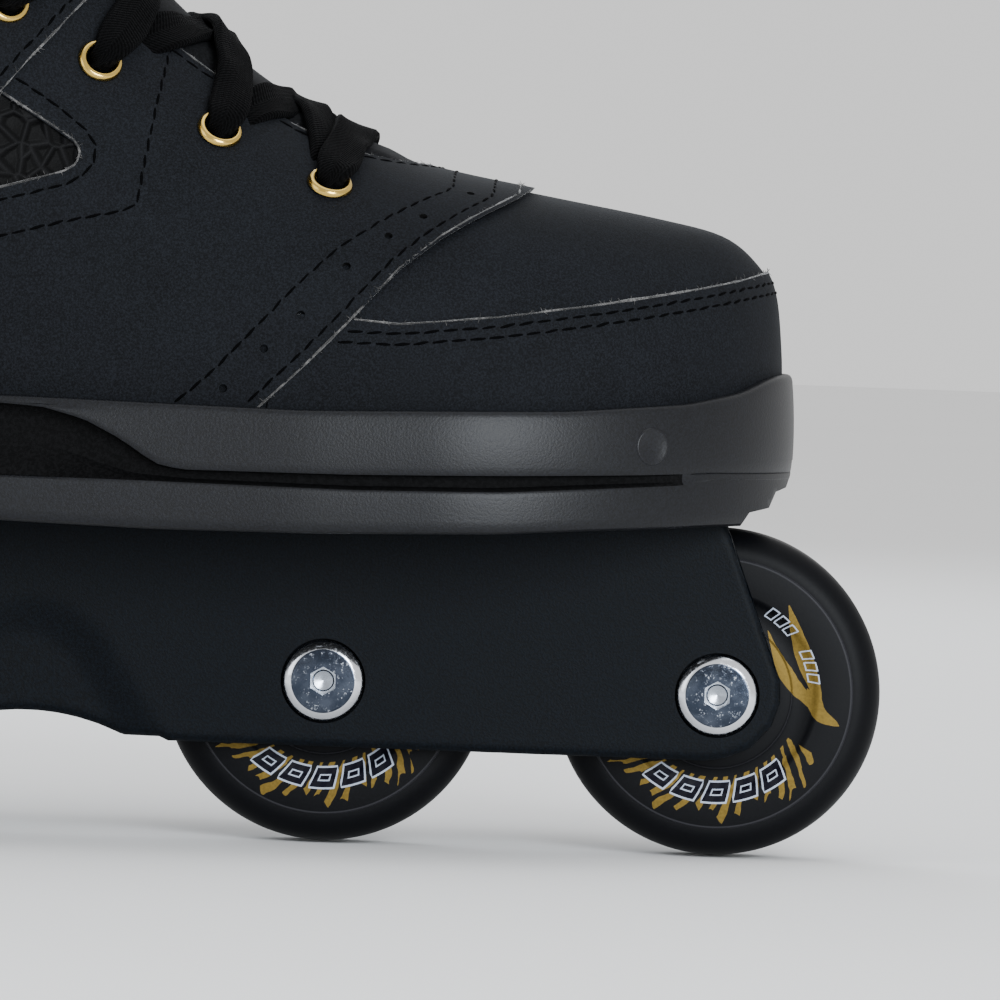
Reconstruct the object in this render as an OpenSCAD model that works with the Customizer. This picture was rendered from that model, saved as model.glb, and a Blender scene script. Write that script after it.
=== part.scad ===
// Aggressive inline skate, right foot. +X is the toe, -Y the outer side, +Z up.
// The origin is on the ground, midway between the outer wheels. Millimetres.

/* [Wheels] */
// Wheel diameter
wheel_d = 60; // [56:1:60]
// Width of a wheel at its hub
wheel_w = 24; // [22:1:24]
// Distance between the front and the rear axle
wheelbase = 252; // [248:1:256]
// Distance between the two middle axles
middle_gap = 108; // [106:1:112]

/* [Frame] */
// Outer width of the frame
frame_w = 39; // [38:1:41]
// Height of the frame's flat bottom edge above the ground
frame_bottom = 18; // [17:0.5:20]
// Distance between the two frame bolts
bolt_spacing = 165; // [163:1:167]

/* [Boot] */
// Overall width of the sole plate
sole_w = 108; // [106:1:112]
// Thickness of the leather upper
leather = 3; // [2.5:0.1:3]
// Thickness of the lining and padding
padding = 3.2; // [2.5:0.1:3.2]

/* [Cuff] */
// Thickness of the plastic cuff
cuff_wall = 3; // [2.5:0.1:3.2]

/* [Hidden] */
$fn = 64;
axle_z = wheel_d / 2;
axle_x = [wheelbase / 2, middle_gap / 2, -middle_gap / 2, -wheelbase / 2];
bearing_d = 22;
bearing_w = 7;
bore_d = 8;
race_gap = 0.05;
wall_in = 14;
wall_out = frame_w / 2;
frame_top = 64.6;
plate_bottom = 61.2;
pivot = [-68, 0, 140];
sole_bottom = 59.3;
boot_bottom = 72.4;
toe_x = 135.4;
clear = 0.3;
ball_count = 7;

// ---------- Boot form ----------
// Each row is one section line: its near end on the front outline, its far end on the sole or the heel (x, z).
SECTIONS = [
    [135.4, 84, 135.4, 72.4], [135, 93, 135, 72.4], [133.6, 103.5, 133.6, 72.4], [130.5, 109, 130.5, 72.4],
    [124, 113.8, 124, 72.4], [112, 116.6, 112, 72.4], [94, 119.6, 94, 72.4], [75, 122.8, 72, 72.4],
    [64, 125.5, 54, 72.4], [52, 130, 32, 72.4], [41, 136.5, 8, 72.4], [31, 143.5, -18, 72.4],
    [22, 151, -46, 72.4], [14, 159, -75, 72.4], [8, 167, -103, 72.4], [4, 174, -126, 73], [1, 181, -137.5, 82],
    [-1, 188, -141.2, 96], [-3, 197, -141, 114], [-4.5, 206, -137, 133], [-5.5, 215, -132.5, 152],
    [-6.5, 224, -129, 172], [-7.2, 233, -128, 195], [-7.8, 243, -129.5, 220], [-8, 254, -132, 243],
    [-8.4, 266, -134, 263], [-9, 282, -136, 285]];
// Rear outline of the heel and the shaft: height, x
BACK = [[60, -130], [72.4, -134], [82, -137.5], [96, -141.2], [114, -141], [133, -137], [152, -132.5],
    [172, -129], [195, -128], [220, -129.5], [260, -133.5], [290, -136.5]];
// Half width of the foot along its length: x, half width
FOOT_W = [[-140, 36], [-80, 36.5], [-30, 39.5], [20, 45.5], [60, 48.5], [135, 48.5]];
shaft_half = 41;

function mix(a, b, t) = a + (b - a) * t;
function clamp01(t) = max(0, min(1, t));
function smooth(t) = let(c = clamp01(t)) c * c * (3 - 2 * c);
function round_in(t, p) = pow(max(0, 1 - pow(1 - clamp01(t), p)), 1 / p);
function middle_y(x) = 7 * smooth((x - 72) / 64);

// Half width of the boot at x and z, a distance dn below its front outline, with the surface moved in by inset
function half_width(x, z, dn, inset) =
    let(
        rise = smooth((z - 105) / 80),
        widest = mix(lookup(x, FOOT_W), shaft_half, rise) - inset,
        depth = mix(34, 56, smooth((60 - x) / 60)),
        front = round_in((dn - inset) / depth, mix(2.5, 2, smooth((100 - x) / 60))),
        back = round_in((x - lookup(z, BACK) - inset) / mix(42, 54, rise), 2.2),
        toe = round_in((toe_x - inset - x) / 62, 2.25))
    max(0.4, widest * front * back * toe);

// Row number i of the sections may have a fraction
function section(i) =
    let(k = min(floor(i), len(SECTIONS) - 2), t = i - k)
    mix(SECTIONS[k], SECTIONS[k + 1], t);

// Point at fraction s down section i, on the side with sign (-1 outer, 1 inner)
function boot_point(i, s, side, inset) =
    let(
        row = section(i),
        near = [row[0], row[1]],
        far = [row[2], row[3]],
        span = norm(far - near),
        unit = (far - near) / span,
        dn = inset + s * (span - 2 * inset),
        p = near + unit * dn,
        x = min(p[0], toe_x - inset - 0.05),
        half = half_width(x, p[1], dn + 0.15, inset))
    [x, middle_y(x) + side * half, p[1]];

// Closed solid of the boot form, its surface moved in by inset, between two section rows
module boot_form(inset = 0, from_row = 0, to_row = 25, cells = 9) {
    rows = [for (i = [from_row:to_row]) i];
    depth_steps = [for (k = [0:cells]) (1 - cos(180 * k / cells)) / 2];
    ring = [for (i = rows)
        concat(
            [for (k = [0:cells]) boot_point(i, depth_steps[k], -1, inset)],
            [for (k = [cells:-1:0]) boot_point(i, depth_steps[k], 1, inset)])];
    count = 2 * (cells + 1);
    points = [for (r = ring) for (p = r) p];
    sides = [for (r = [0:len(rows) - 2]) for (k = [0:count - 1])
        let(a = r * count + k, b = r * count + (k + 1) % count)
        each [[a, b, a + count], [b, b + count, a + count]]];
    first = [for (k = [1:count - 2]) [0, k + 1, k]];
    base = (len(rows) - 1) * count;
    last = [for (k = [1:count - 2]) [base, base + k, base + k + 1]];
    polyhedron(points, concat(sides, first, last), convexity = 8);
}

// Extrudes an outline in the x-z plane across the whole width
module side_cut(outline, from_y = -80, to_y = 80) {
    translate([0, to_y, 0])
        rotate([90, 0, 0])
            linear_extrude(to_y - from_y)
                polygon(outline);
}

// Outline of the foot seen from above, at boot floor level, moved out by grow
function foot_outline(grow) =
    let(xs = [for (k = [0:20]) mix(-134 - grow, toe_x + grow, (1 - cos(180 * k / 20)) / 2)])
    concat(
        [for (x = xs) [x, middle_y(x) - plan_half(x, grow)]],
        [for (k = [20:-1:0]) [xs[k], middle_y(xs[k]) + plan_half(xs[k], grow)]]);
function plan_half(x, grow) =
    max(0.3, (lookup(x, FOOT_W) + grow) * round_in((x + 134 + grow) / (42 + grow), 2.2)
        * round_in((toe_x + grow - x) / (62 + grow), 2.25));

// Outline of the sole plate seen from above, moved in by inset
SOLE_W = [[-145, 46], [-60, 47.5], [-10, 50], [50, 54], [138, 54]];
function sole_half(x, inset) =
    max(0.3, (lookup(x, SOLE_W) * sole_w / 108 - inset) * round_in((x + 145 - inset) / (46 - inset), 2.3)
        * round_in((138.6 - inset - x) / (66 - inset), 2.3));
function sole_outline(inset) =
    let(xs = [for (k = [0:22]) mix(-145 + inset, 138.6 - inset, (1 - cos(180 * k / 22)) / 2)])
    concat(
        [for (x = xs) [x, middle_y(x) - sole_half(x, inset)]],
        [for (k = [22:-1:0]) [xs[k], middle_y(xs[k]) + sole_half(xs[k], inset)]]);

module sole_layer(inset, z0, z1) {
    translate([0, 0, z0])
        linear_extrude(z1 - z0)
            polygon(sole_outline(inset));
}

// Shaft along Y, centred on the origin
module rod(r, h, y0 = 0) {
    translate([0, y0, 0])
        rotate([-90, 0, 0])
            cylinder(r = r, h = h);
}

// ---------- Frame ----------
groove_r = 41.5;
groove_top = 22.6;
frame_front = [[124, 64.6], [127, 60.5], [137.4, 33], [137.5, 29], [136, 24.5], [132.5, 20.6], [127.5, 18.5]];

module frame_side_outline() {
    half = concat(frame_front, [[126, frame_bottom], [26, frame_bottom], [24.4, frame_bottom + 0.9]]);
    mirrored = [for (k = [len(half) - 1:-1:0]) [-half[k][0], half[k][1]]];
    polygon(concat(half, mirrored));
}

module scoop_outline() {
    half = [[24.9, frame_bottom - 0.5], [24.7, 18.2], [22.8, 20.8], [18.9, 27.1], [13.1, 36], [8.4, 40], [4, 42]];
    mirrored = [for (k = [len(half) - 1:-1:0]) [-half[k][0], half[k][1]]];
    polygon(concat(half, [[0, 42.6]], mirrored));
}

module frame() color("#1b1b1d") {
    difference() {
        union() {
            for (y = [-wall_out, wall_in])
                translate([0, y + wall_out - wall_in, 0])
                    rotate([90, 0, 0])
                        linear_extrude(wall_out - wall_in)
                            frame_side_outline();
            translate([-124, -wall_out + 0.5, plate_bottom])
                cube([248, frame_w - 1, frame_top - plate_bottom]);
            for (x = [-90, 90])
                translate([x - 1.6, -wall_in - 1, 40])
                    cube([3.2, 2 * wall_in + 2, 12]);
            for (x = axle_x, side = [-1, 1])
                translate([x, side > 0 ? wheel_w / 2 + race_gap : -wall_in - 0.5, axle_z])
                    rod(5.9, wall_in + 0.5 - wheel_w / 2 - race_gap);
        }
        for (x = axle_x) {
            translate([x, -30, axle_z])
                rod(bore_d / 2 + 0.05, 60);
            translate([x, -wall_out - 1, axle_z])
                rod(8, 3.4);
            translate([x, wall_out - 2.4, axle_z])
                rod(8, 3.4);
        }
        for (x = [-1, 1] * bolt_spacing / 2)
            translate([x, 0, 50])
                cylinder(r = 4.3, h = 20);
        translate([0, -40, groove_top - groove_r])
            rod(groove_r, 80);
        for (y = [-wall_out - 1, wall_out - 1.2])
            translate([0, y + 2.2, 0])
                rotate([90, 0, 0])
                    linear_extrude(2.2)
                        scoop_outline();
    }
}

module groove_block() color("#2a2a2c") {
    difference() {
        translate([-19, -wall_in + 0.15, 21])
            cube([38, 2 * wall_in - 0.3, 38]);
        translate([0, -40, groove_top - groove_r])
            rod(groove_r, 80);
        translate([-12, -8, 40])
            cube([24, 16, 25]);
    }
}

module frame_bolts() color("#b9bcc0") {
    for (x = [-1, 1] * bolt_spacing / 2)
        translate([x, 0, 0]) {
            difference() {
                translate([0, 0, 55.6])
                    cylinder(r = 6.4, h = 4);
                translate([0, 0, 55])
                    cylinder(r = 3, h = 3, $fn = 6);
            }
            translate([0, 0, 59.6])
                cylinder(r = 3.95, h = 9.9);
        }
}

module frame_washers() color("#8d8f93") {
    for (x = [-1, 1] * bolt_spacing / 2)
        translate([x, 0, 59.65])
            difference() {
                cylinder(r = 8, h = 1.5);
                translate([0, 0, -1])
                    cylinder(r = 4.1, h = 4);
            }
}

// Flanged nuts let into the sole plate from above
module sole_t_nuts() color("#8d8f93") {
    for (x = [-1, 1] * bolt_spacing / 2)
        translate([x, 0, 0])
            difference() {
                union() {
                    translate([0, 0, 66])
                        cylinder(r = 5.4, h = 4);
                    translate([0, 0, 70])
                        cylinder(r = 9, h = 1.6);
                }
                translate([0, 0, 60])
                    cylinder(r = 4, h = 20);
            }
}

// ---------- Sole plate ----------
SCREWS = [[108, -25], [108, 34], [48, -36], [48, 36], [-52, -31], [-52, 31], [-112, -27], [-112, 27]];
sole_floor = 72;

// Height of the lip's top edge: low along the side, raised at the toe and the heel
LIP = [[-150, 89], [-143, 88], [-132, 84.5], [-110, 82.4], [-60, 81], [0, 80.6], [50, 80], [98, 81.4],
    [120, 83.2], [130, 85.4], [134, 87.6], [142, 88.6]];

module soulplate() color("#232427") {
    difference() {
        union() {
            sole_layer(1, sole_bottom, sole_bottom + 1);
            sole_layer(0, sole_bottom + 1, 67.2);
            sole_layer(2.2, 67.2, 69.6);
            sole_layer(0.4, 69.6, 90);
        }
        translate([0, 0, sole_floor])
            linear_extrude(40)
                polygon(foot_outline(1.4));
        translate([-6.8, 0, sole_floor + 2])
            linear_extrude(40)
                polygon(foot_outline(1.4));
        side_cut(concat(LIP, [[150, 120], [-150, 120]]));
        translate([-131, -wall_out - 0.3, sole_bottom - 5])
            cube([262, frame_w + 0.6, frame_top + 0.1 - sole_bottom + 5]);
        side_cut([[127, 50], [128.6, 60.5], [130.6, 63.6], [134.2, 64.4], [135.3, 67.3], [137.4, 68.2],
            [138.7, 72], [160, 72], [160, 50]]);
        side_cut([[-127, 50], [-130, 60.5], [-135, 64], [-141, 70], [-160, 76], [-160, 50]]);
        for (side = [-1, 1])
            intersection() {
                side_cut([[-70, 66], [24.7, 69], [21.6, 70.7], [17.5, 73.4], [10.6, 76.8], [3, 78.8],
                    [-8, 79.4], [-40, 79.4], [-54, 77], [-64, 70.8]]);
                difference() {
                    translate([-80, side > 0 ? 0 : -80, 60])
                        cube([120, 80, 25]);
                    sole_layer(4.6, 60, 90);
                }
            }
        for (x = [-1, 1] * bolt_spacing / 2)
            translate([x, 0, 0]) {
                translate([0, 0, 60])
                    cylinder(r = 5.6, h = 20);
                translate([0, 0, 69.9])
                    cylinder(r = 9.3, h = 10);
            }
        for (p = SCREWS)
            translate([p[0], p[1], 50]) {
                cylinder(r = 2.2, h = 30);
                cylinder(r = 4, h = 13);
            }
        translate([-128, -22, 66.8])
            cube([78 - 16, 44, 10]);
    }
}

module sole_screws() color("#8d8f93") {
    for (p = SCREWS)
        translate([p[0], p[1], 0]) {
            translate([0, 0, 60.4])
                cylinder(r = 3.7, h = 2.4);
            translate([0, 0, 62.8])
                cylinder(r = 1.9, h = 12);
        }
}

module shock_pad() color("#3c6fb0") {
    difference() {
        translate([-127.6, -21.6, 67])
            cube([61.2, 43.2, 5]);
        translate([-bolt_spacing / 2, 0, 60])
            cylinder(r = 10, h = 20);
        for (p = SCREWS)
            translate([p[0], p[1], 60])
                cylinder(r = 2.4, h = 20);
    }
}

// ---------- Boot ----------
liner_in = leather + clear;
room_in = liner_in + padding;
// Edge of the ankle gap: the foot part ends below it and the shaft starts above it
FOOT_TOP = [[-170, 153], [-100, 153], [-40, 158], [30, 158], [80, 200], [80, 300], [-170, 300]];
SHAFT_FROM = [[-170, 156.5], [-100, 156.5], [-68, 164], [40, 189], [40, 60], [-170, 60]];
// Everything above the collar's top edge
COLLAR = [[-170, 250], [-134, 250], [-104, 243], [-70, 239], [-36, 240], [20, 248], [20, 330], [-170, 330]];

// Space over the instep that the leather leaves open for the tongue
module throat(half, to_x) {
    translate([0, 0, 100])
        linear_extrude(200)
            hull() {
                translate([to_x - half, 1.5])
                    circle(r = half);
                translate([-60, -half + 1.5])
                    square([1, 2 * half]);
            }
}

module upper() color("#26282c") {
    difference() {
        boot_form(0, 0, 21);
        boot_form(leather, 3, 22);
        side_cut(FOOT_TOP);
        intersection() {
            throat(20, 70);
            side_cut([[90, 110], [-20, 110], [-20, 300], [90, 300]]);
        }
        for (p = concat(SCREWS, [[-bolt_spacing / 2, 0], [bolt_spacing / 2, 0]]))
            translate([p[0], p[1], 60])
                cylinder(r = 2.6, h = 24);
        ankle_holes(4.3);
    }
}

module foot_lining() color("#101012") {
    difference() {
        boot_form(liner_in, 3, 21);
        boot_form(room_in, 4, 22);
        side_cut(FOOT_TOP);
        intersection() {
            throat(25, 84);
            side_cut([[110, 100], [-30, 100], [-30, 300], [110, 300]]);
        }
        ankle_holes(12);
    }
}

module shaft() color("#26282c") {
    difference() {
        boot_form(0, 12, 25);
        boot_form(leather, 11, 26);
        side_cut(SHAFT_FROM);
        side_cut(COLLAR);
        intersection() {
            throat(20, 30);
            side_cut([[40, 130], [-40, 130], [-40, 330], [40, 330]]);
        }
    }
}

module collar_pad() color("#101012") {
    difference() {
        boot_form(liner_in, 12, 25);
        boot_form(liner_in + 6, 11, 26);
        side_cut(SHAFT_FROM);
        side_cut(COLLAR);
        intersection() {
            throat(27, 40);
            side_cut([[40, 130], [-45, 130], [-45, 330], [40, 330]]);
        }
    }
}

module tongue() color("#1e1f22") {
    intersection() {
        difference() {
            boot_form(liner_in, 3, 21);
            boot_form(room_in, 4, 22);
            side_cut(FOOT_TOP);
        }
        throat(24, 80);
        side_cut([[80, 112], [20, 112], [-25, 130], [-25, 300], [100, 300]]);
    }
}

module tongue_top() color("#1e1f22") {
    intersection() {
        difference() {
            boot_form(liner_in, 10, 25);
            boot_form(room_in, 9, 26);
            side_cut(SHAFT_FROM);
        }
        throat(24, 60);
        side_cut([[60, 130], [-32, 130], [-32, 262], [60, 262]]);
    }
}

module insole() color("#55585e") {
    translate([0, 0, boot_bottom + room_in + 0.2])
        linear_extrude(3)
            polygon(foot_outline(-12.5));
}

// Holes for the ankle screws
module ankle_holes(r) {
    translate([pivot[0], -60, pivot[2]])
        rod(r, 120);
}

module pull_loop() color("#17181a") {
    translate([-134.2, 0, 238])
        rotate([0, 3, 0])
            difference() {
                translate([0, -9, 0])
                    cube([10.5, 18, 32]);
                translate([1.6, -15, -5])
                    cube([7.3, 30, 35]);
            }
}

// Eyelet places as section row, fraction down the section, for the outer side
EYELETS = [[8.74, 0.16], [10.34, 0.15], [12.2, 0.148], [13.8, 0.155]];
EYELETS_TOP = [[17, 0.12], [21.6, 0.12], [22.6, 0.12]];

module on_boot(place, side, lift = 0) {
    p = boot_point(place[0], place[1], side, 0);
    q = boot_point(place[0] + 0.2, place[1], side, 0);
    r = boot_point(place[0], place[1] + 0.03, side, 0);
    normal = cross(q - p, r - p) * side;
    n = normal / norm(normal);
    outward = n[1] * side > 0 ? n : -n;
    translate(p + outward * lift)
        rotate([0, acos(outward[2]), atan2(outward[1], outward[0])])
            children();
}

module eyelet_ring() {
    rotate_extrude($fn = 32)
        translate([3, 0])
            circle(r = 1.1, $fn = 16);
}

module eyelets() color("#d9a93c") {
    for (place = EYELETS, side = [-1, 1])
        on_boot(place, side, 1.2)
            eyelet_ring();
}

module eyelets_top() color("#d9a93c") {
    for (place = EYELETS_TOP, side = [-1, 1])
        on_boot(place, side, 1.2)
            eyelet_ring();
}

// Flat lace from an outer-side eyelet to an inner-side one, lying over the tongue
module lace_run(a, b, lift, section) {
    middle = (a[0] + b[0]) / 2;
    knots = [
        boot_point(a[0], a[1], -1, -lift),
        boot_point(mix(a[0], middle, 0.45), a[1] * 0.32, -1, -lift),
        boot_point(middle, 0, -1, -lift),
        boot_point(mix(b[0], middle, 0.45), b[1] * 0.32, 1, -lift),
        boot_point(b[0], b[1], 1, -lift)];
    for (k = [0:3])
        hull()
            for (p = [knots[k], knots[k + 1]])
                translate(p)
                    cube(section, center = true);
}

module lace_set(places, lift, section) {
    lace_run(places[0], places[0], lift, section);
    for (k = [0:len(places) - 2]) {
        lace_run(places[k], places[k + 1], lift, section);
        lace_run(places[k + 1], places[k], lift, section);
    }
}

module laces() color("#0d0d0e") {
    lace_set(EYELETS, 3.6, [6, 2, 2]);
}

module laces_top() color("#0d0d0e") {
    lace_set(EYELETS_TOP, 2.7, [2, 2, 6]);
}

// ---------- Axles and bearings ----------
module axle_bolts() color("#d5d8dc") {
    for (x = axle_x)
        translate([x, 0, axle_z]) {
            difference() {
                union() {
                    translate([0, -wall_out - 0.9, 0])
                        rod(7.05, 3.2);
                    translate([0, -wall_out + 2.3, 0])
                        rod(2.9, 16);
                }
                translate([0, -wall_out - 2, 0])
                    rotate([-90, 30, 0])
                        cylinder(r = 2.5, h = 3.2, $fn = 6);
            }
        }
}

module axle_barrels() color("#c3c6ca") {
    for (x = axle_x)
        translate([x, 0, axle_z])
            difference() {
                union() {
                    translate([0, wall_out - 2.3, 0])
                        rod(7.05, 3.2);
                    translate([0, -wall_out + 2.6, 0])
                        rod(bore_d / 2 - 0.03, frame_w - 4.9);
                }
                translate([0, -wall_out + 2, 0])
                    rod(2.95, 25);
                translate([0, wall_out - 1.2, 0])
                    rotate([-90, 30, 0])
                        cylinder(r = 2.5, h = 3.2, $fn = 6);
            }
}

// Places something at both bearings of the wheel at x
module at_bearings(x) {
    for (side = [-1, 1])
        translate([x, side * (wheel_w / 2 - bearing_w / 2), axle_z])
            rotate([-90 * side, 0, 0])
                children();
}

module race(r0, r1, groove) {
    rotate_extrude()
        difference() {
            translate([r0, -bearing_w / 2])
                square([r1 - r0, bearing_w]);
            translate([7.65, 0])
                circle(r = groove, $fn = 32);
        }
}

module outer_races(x) color("#b9bcc0") {
    at_bearings(x)
        race(9.1, bearing_d / 2 - 0.02, 2.05);
}

module bearing_inner_races() color("#b9bcc0") {
    for (x = axle_x)
        at_bearings(x)
            race(bore_d / 2, 6.15, 2.05);
}

module bearing_balls() color("#e3e5e8") {
    for (x = axle_x)
        at_bearings(x)
            for (k = [0:ball_count - 1])
                rotate(k * 360 / ball_count)
                    translate([7.65, 0, 0])
                        sphere(r = 1.95, $fn = 24);
}

module bearing_cages() color("#2b3a8c") {
    for (x = axle_x)
        at_bearings(x)
            translate([0, 0, -2.8])
                difference() {
                    cylinder(r = 8.6, h = 0.7);
                    translate([0, 0, -1])
                        cylinder(r = 6.7, h = 3);
                }
}

module shields(x) color("#9a9da1") {
    at_bearings(x)
        translate([0, 0, 2.7])
            difference() {
                cylinder(r = 9.05, h = 0.4);
                translate([0, 0, -1])
                    cylinder(r = 6.3, h = 3);
            }
}

module bearing_spacers() color("#c3c6ca") {
    for (x = axle_x)
        translate([x, -wheel_w / 2 + bearing_w + race_gap, axle_z])
            difference() {
                rod(5.6, wheel_w - 2 * bearing_w - 2 * race_gap);
                translate([0, -1, 0])
                    rod(bore_d / 2, 30);
            }
}

// ---------- Wheels ----------
core_r = wheel_d / 2 - 11.5;

module tyre(x) color("#141416") {
    r = wheel_d / 2;
    half = wheel_w / 2;
    translate([x, 0, axle_z])
        rotate([-90, 0, 0])
            rotate_extrude($fn = 96)
                polygon(concat(
                    [[core_r, -half + 0.4], [r - 5.3, -half + 0.4], [r - 5.1, -half + 0.9]],
                    [for (a = [10:16:90]) [r - 5 + 5 * sin(a), -half + 6.2 - 5.2 * cos(a)]],
                    [[r, half - 6.2]],
                    [for (a = [90:-16:10]) [r - 5 + 5 * sin(a), half - 6.2 + 5.2 * cos(a)]],
                    [[r - 5.1, half - 0.9], [r - 5.3, half - 0.4], [core_r, half - 0.4]]));
}

module core(x) color("#1c1c1f") {
    half = wheel_w / 2;
    translate([x, 0, axle_z])
        rotate([-90, 0, 0])
            rotate_extrude($fn = 96)
                polygon([[bearing_d / 2, -half], [13.4, -half], [13.8, -half + 0.7], [core_r - 0.02, -half + 0.7],
                    [core_r - 0.02, half - 0.7], [13.8, half - 0.7], [13.4, half], [bearing_d / 2, half],
                    [bearing_d / 2, half - bearing_w - 0.03], [9.4, half - bearing_w - 0.03],
                    [9.4, -half + bearing_w + 0.03], [bearing_d / 2, -half + bearing_w + 0.03]]);
}

// ---------- Cuff ----------
cuff_in = -1.6;
cuff_head_y = 44.2;
CUFF_SIDE = [[-84, 128], [-76, 122.5], [-62, 122.5], [-52, 129], [-50, 146], [-46, 164], [-38, 180],
    [-31, 190], [-30, 216], [-38, 225], [-56, 228], [-90, 231], [-120, 234], [-150, 236], [-150, 176],
    [-118, 169], [-99, 155], [-88, 141]];

module cuff() color("#202124") {
    difference() {
        intersection() {
            difference() {
                boot_form(cuff_in - cuff_wall, 9, 25);
                boot_form(cuff_in, 8, 26);
            }
            side_cut(CUFF_SIDE);
        }
        translate([0, 0, 100])
            linear_extrude(200)
                translate([-40, -23])
                    square([80, 46]);
        ankle_holes(4.05);
    }
}

module cuff_screws() color("#c3c6ca") {
    for (side = [-1, 1])
        translate([pivot[0], 0, pivot[2]])
            rotate([0, 0, side < 0 ? 0 : 180])
                difference() {
                    union() {
                        translate([0, -cuff_head_y - 2.4, 0])
                            rod(7.5, 2.4);
                        translate([0, -cuff_head_y, 0])
                            rod(4, 13);
                    }
                    translate([0, -cuff_head_y - 3, 0])
                        rotate([-90, 0, 0])
                            cylinder(r = 2.8, h = 2.2, $fn = 6);
                }
}

module cuff_nuts() color("#8d8f93") {
    for (side = [-1, 1])
        translate([pivot[0], 0, pivot[2]])
            rotate([0, 0, side < 0 ? 0 : 180])
                difference() {
                    translate([0, -34.8, 0])
                        rod(9, 1.8);
                    translate([0, -40, 0])
                        rod(4.1, 12);
                }
}

// ---------- Strap and buckle ----------
strap_z = 204;
buckle_x = -44;
buckle_y = -48.4;

// Toothed strap over the shin: a band around the boot form between two heights
module strap() color("#17181a") {
    intersection() {
        difference() {
            boot_form(cuff_in - cuff_wall - 2.4, 9, 25, 12);
            boot_form(cuff_in - cuff_wall - 0.3, 8, 26, 12);
        }
        translate([-30, -80, strap_z - 10])
            cube([60, 160, 20]);
    }
}

module strap_rivets() color("#c3c6ca") {
    for (dz = [-5, 5])
        translate([-24, 0, strap_z + dz])
            rod(1.8, 1.4, 46.6);
}

// Body-fixed plate that carries the lever
module buckle_base() color("#1b1b1d") {
    translate([buckle_x, buckle_y, strap_z])
        difference() {
            union() {
                translate([-16, 0, -12])
                    cube([30, 1.6, 24]);
                for (z = [-12, 10])
                    translate([-4, -5.5, z])
                        cube([18, 5.6, 2]);
            }
            translate([4, -3, -20])
                cylinder(r = 1.25, h = 40);
            translate([11, -1.8, -20])
                cylinder(r = 0.95, h = 40);
        }
}

module buckle_pin() color("#c3c6ca") {
    translate([buckle_x + 4, buckle_y - 3, strap_z - 12.4])
        cylinder(r = 1.2, h = 24.8);
}

module buckle_lever() color("#26272a") {
    translate([buckle_x, buckle_y, strap_z])
        difference() {
            union() {
                translate([4, -3, -9.6])
                    cylinder(r = 2.2, h = 19.2);
                translate([-26, -3.6, -9.6])
                    cube([30, 2, 19.2]);
            }
            translate([4, -3, -20])
                cylinder(r = 1.25, h = 40);
            translate([-20, -6, -5])
                cube([10, 6, 10]);
        }
}

module release_pin() color("#c3c6ca") {
    translate([buckle_x + 11, buckle_y - 1.8, strap_z - 12.2])
        cylinder(r = 0.9, h = 24.4);
}

module release_tab() color("#3a3b3f") {
    translate([buckle_x + 11, buckle_y - 1.8, strap_z])
        difference() {
            union() {
                translate([0, 0, -7])
                    cylinder(r = 1.5, h = 14);
                translate([0, -1.5, -7])
                    cube([11, 1.6, 14]);
            }
            translate([0, 0, -20])
                cylinder(r = 0.95, h = 40);
        }
}

frame();
groove_block();
frame_bolts();
frame_washers();
sole_t_nuts();
soulplate();
sole_screws();
shock_pad();
insole();
upper();
foot_lining();
tongue();
laces();
laces_top();
eyelets();
eyelets_top();
axle_bolts();
axle_barrels();
bearing_inner_races();
bearing_balls();
bearing_cages();
bearing_spacers();
cuff_screws();
cuff_nuts();
tyre(axle_x[0]);  // tyre_1
tyre(axle_x[1]);  // tyre_2
tyre(axle_x[2]);  // tyre_3
tyre(axle_x[3]);  // tyre_4
core(axle_x[0]);  // core_1
core(axle_x[1]);  // core_2
core(axle_x[2]);  // core_3
core(axle_x[3]);  // core_4
outer_races(axle_x[0]);  // outer_races_1
outer_races(axle_x[1]);  // outer_races_2
outer_races(axle_x[2]);  // outer_races_3
outer_races(axle_x[3]);  // outer_races_4
shields(axle_x[0]);  // shields_1
shields(axle_x[1]);  // shields_2
shields(axle_x[2]);  // shields_3
shields(axle_x[3]);  // shields_4
shaft();
collar_pad();
tongue_top();
pull_loop();
cuff();
strap();
strap_rivets();
buckle_base();
buckle_pin();
buckle_lever();
release_pin();
release_tab();
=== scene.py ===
"""Looks of an inline skate: nubuck boot, plastic cuff, sole plate, frame and printed wheels.

Lengths inside this file are in millimetres, in the frame of the part, and become metres when a mesh is made.
"""

import functools
import math
import random

import bmesh
import bpy
import numpy as np
from mathutils import Matrix, Vector
from mathutils.bvhtree import BVHTree


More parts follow.
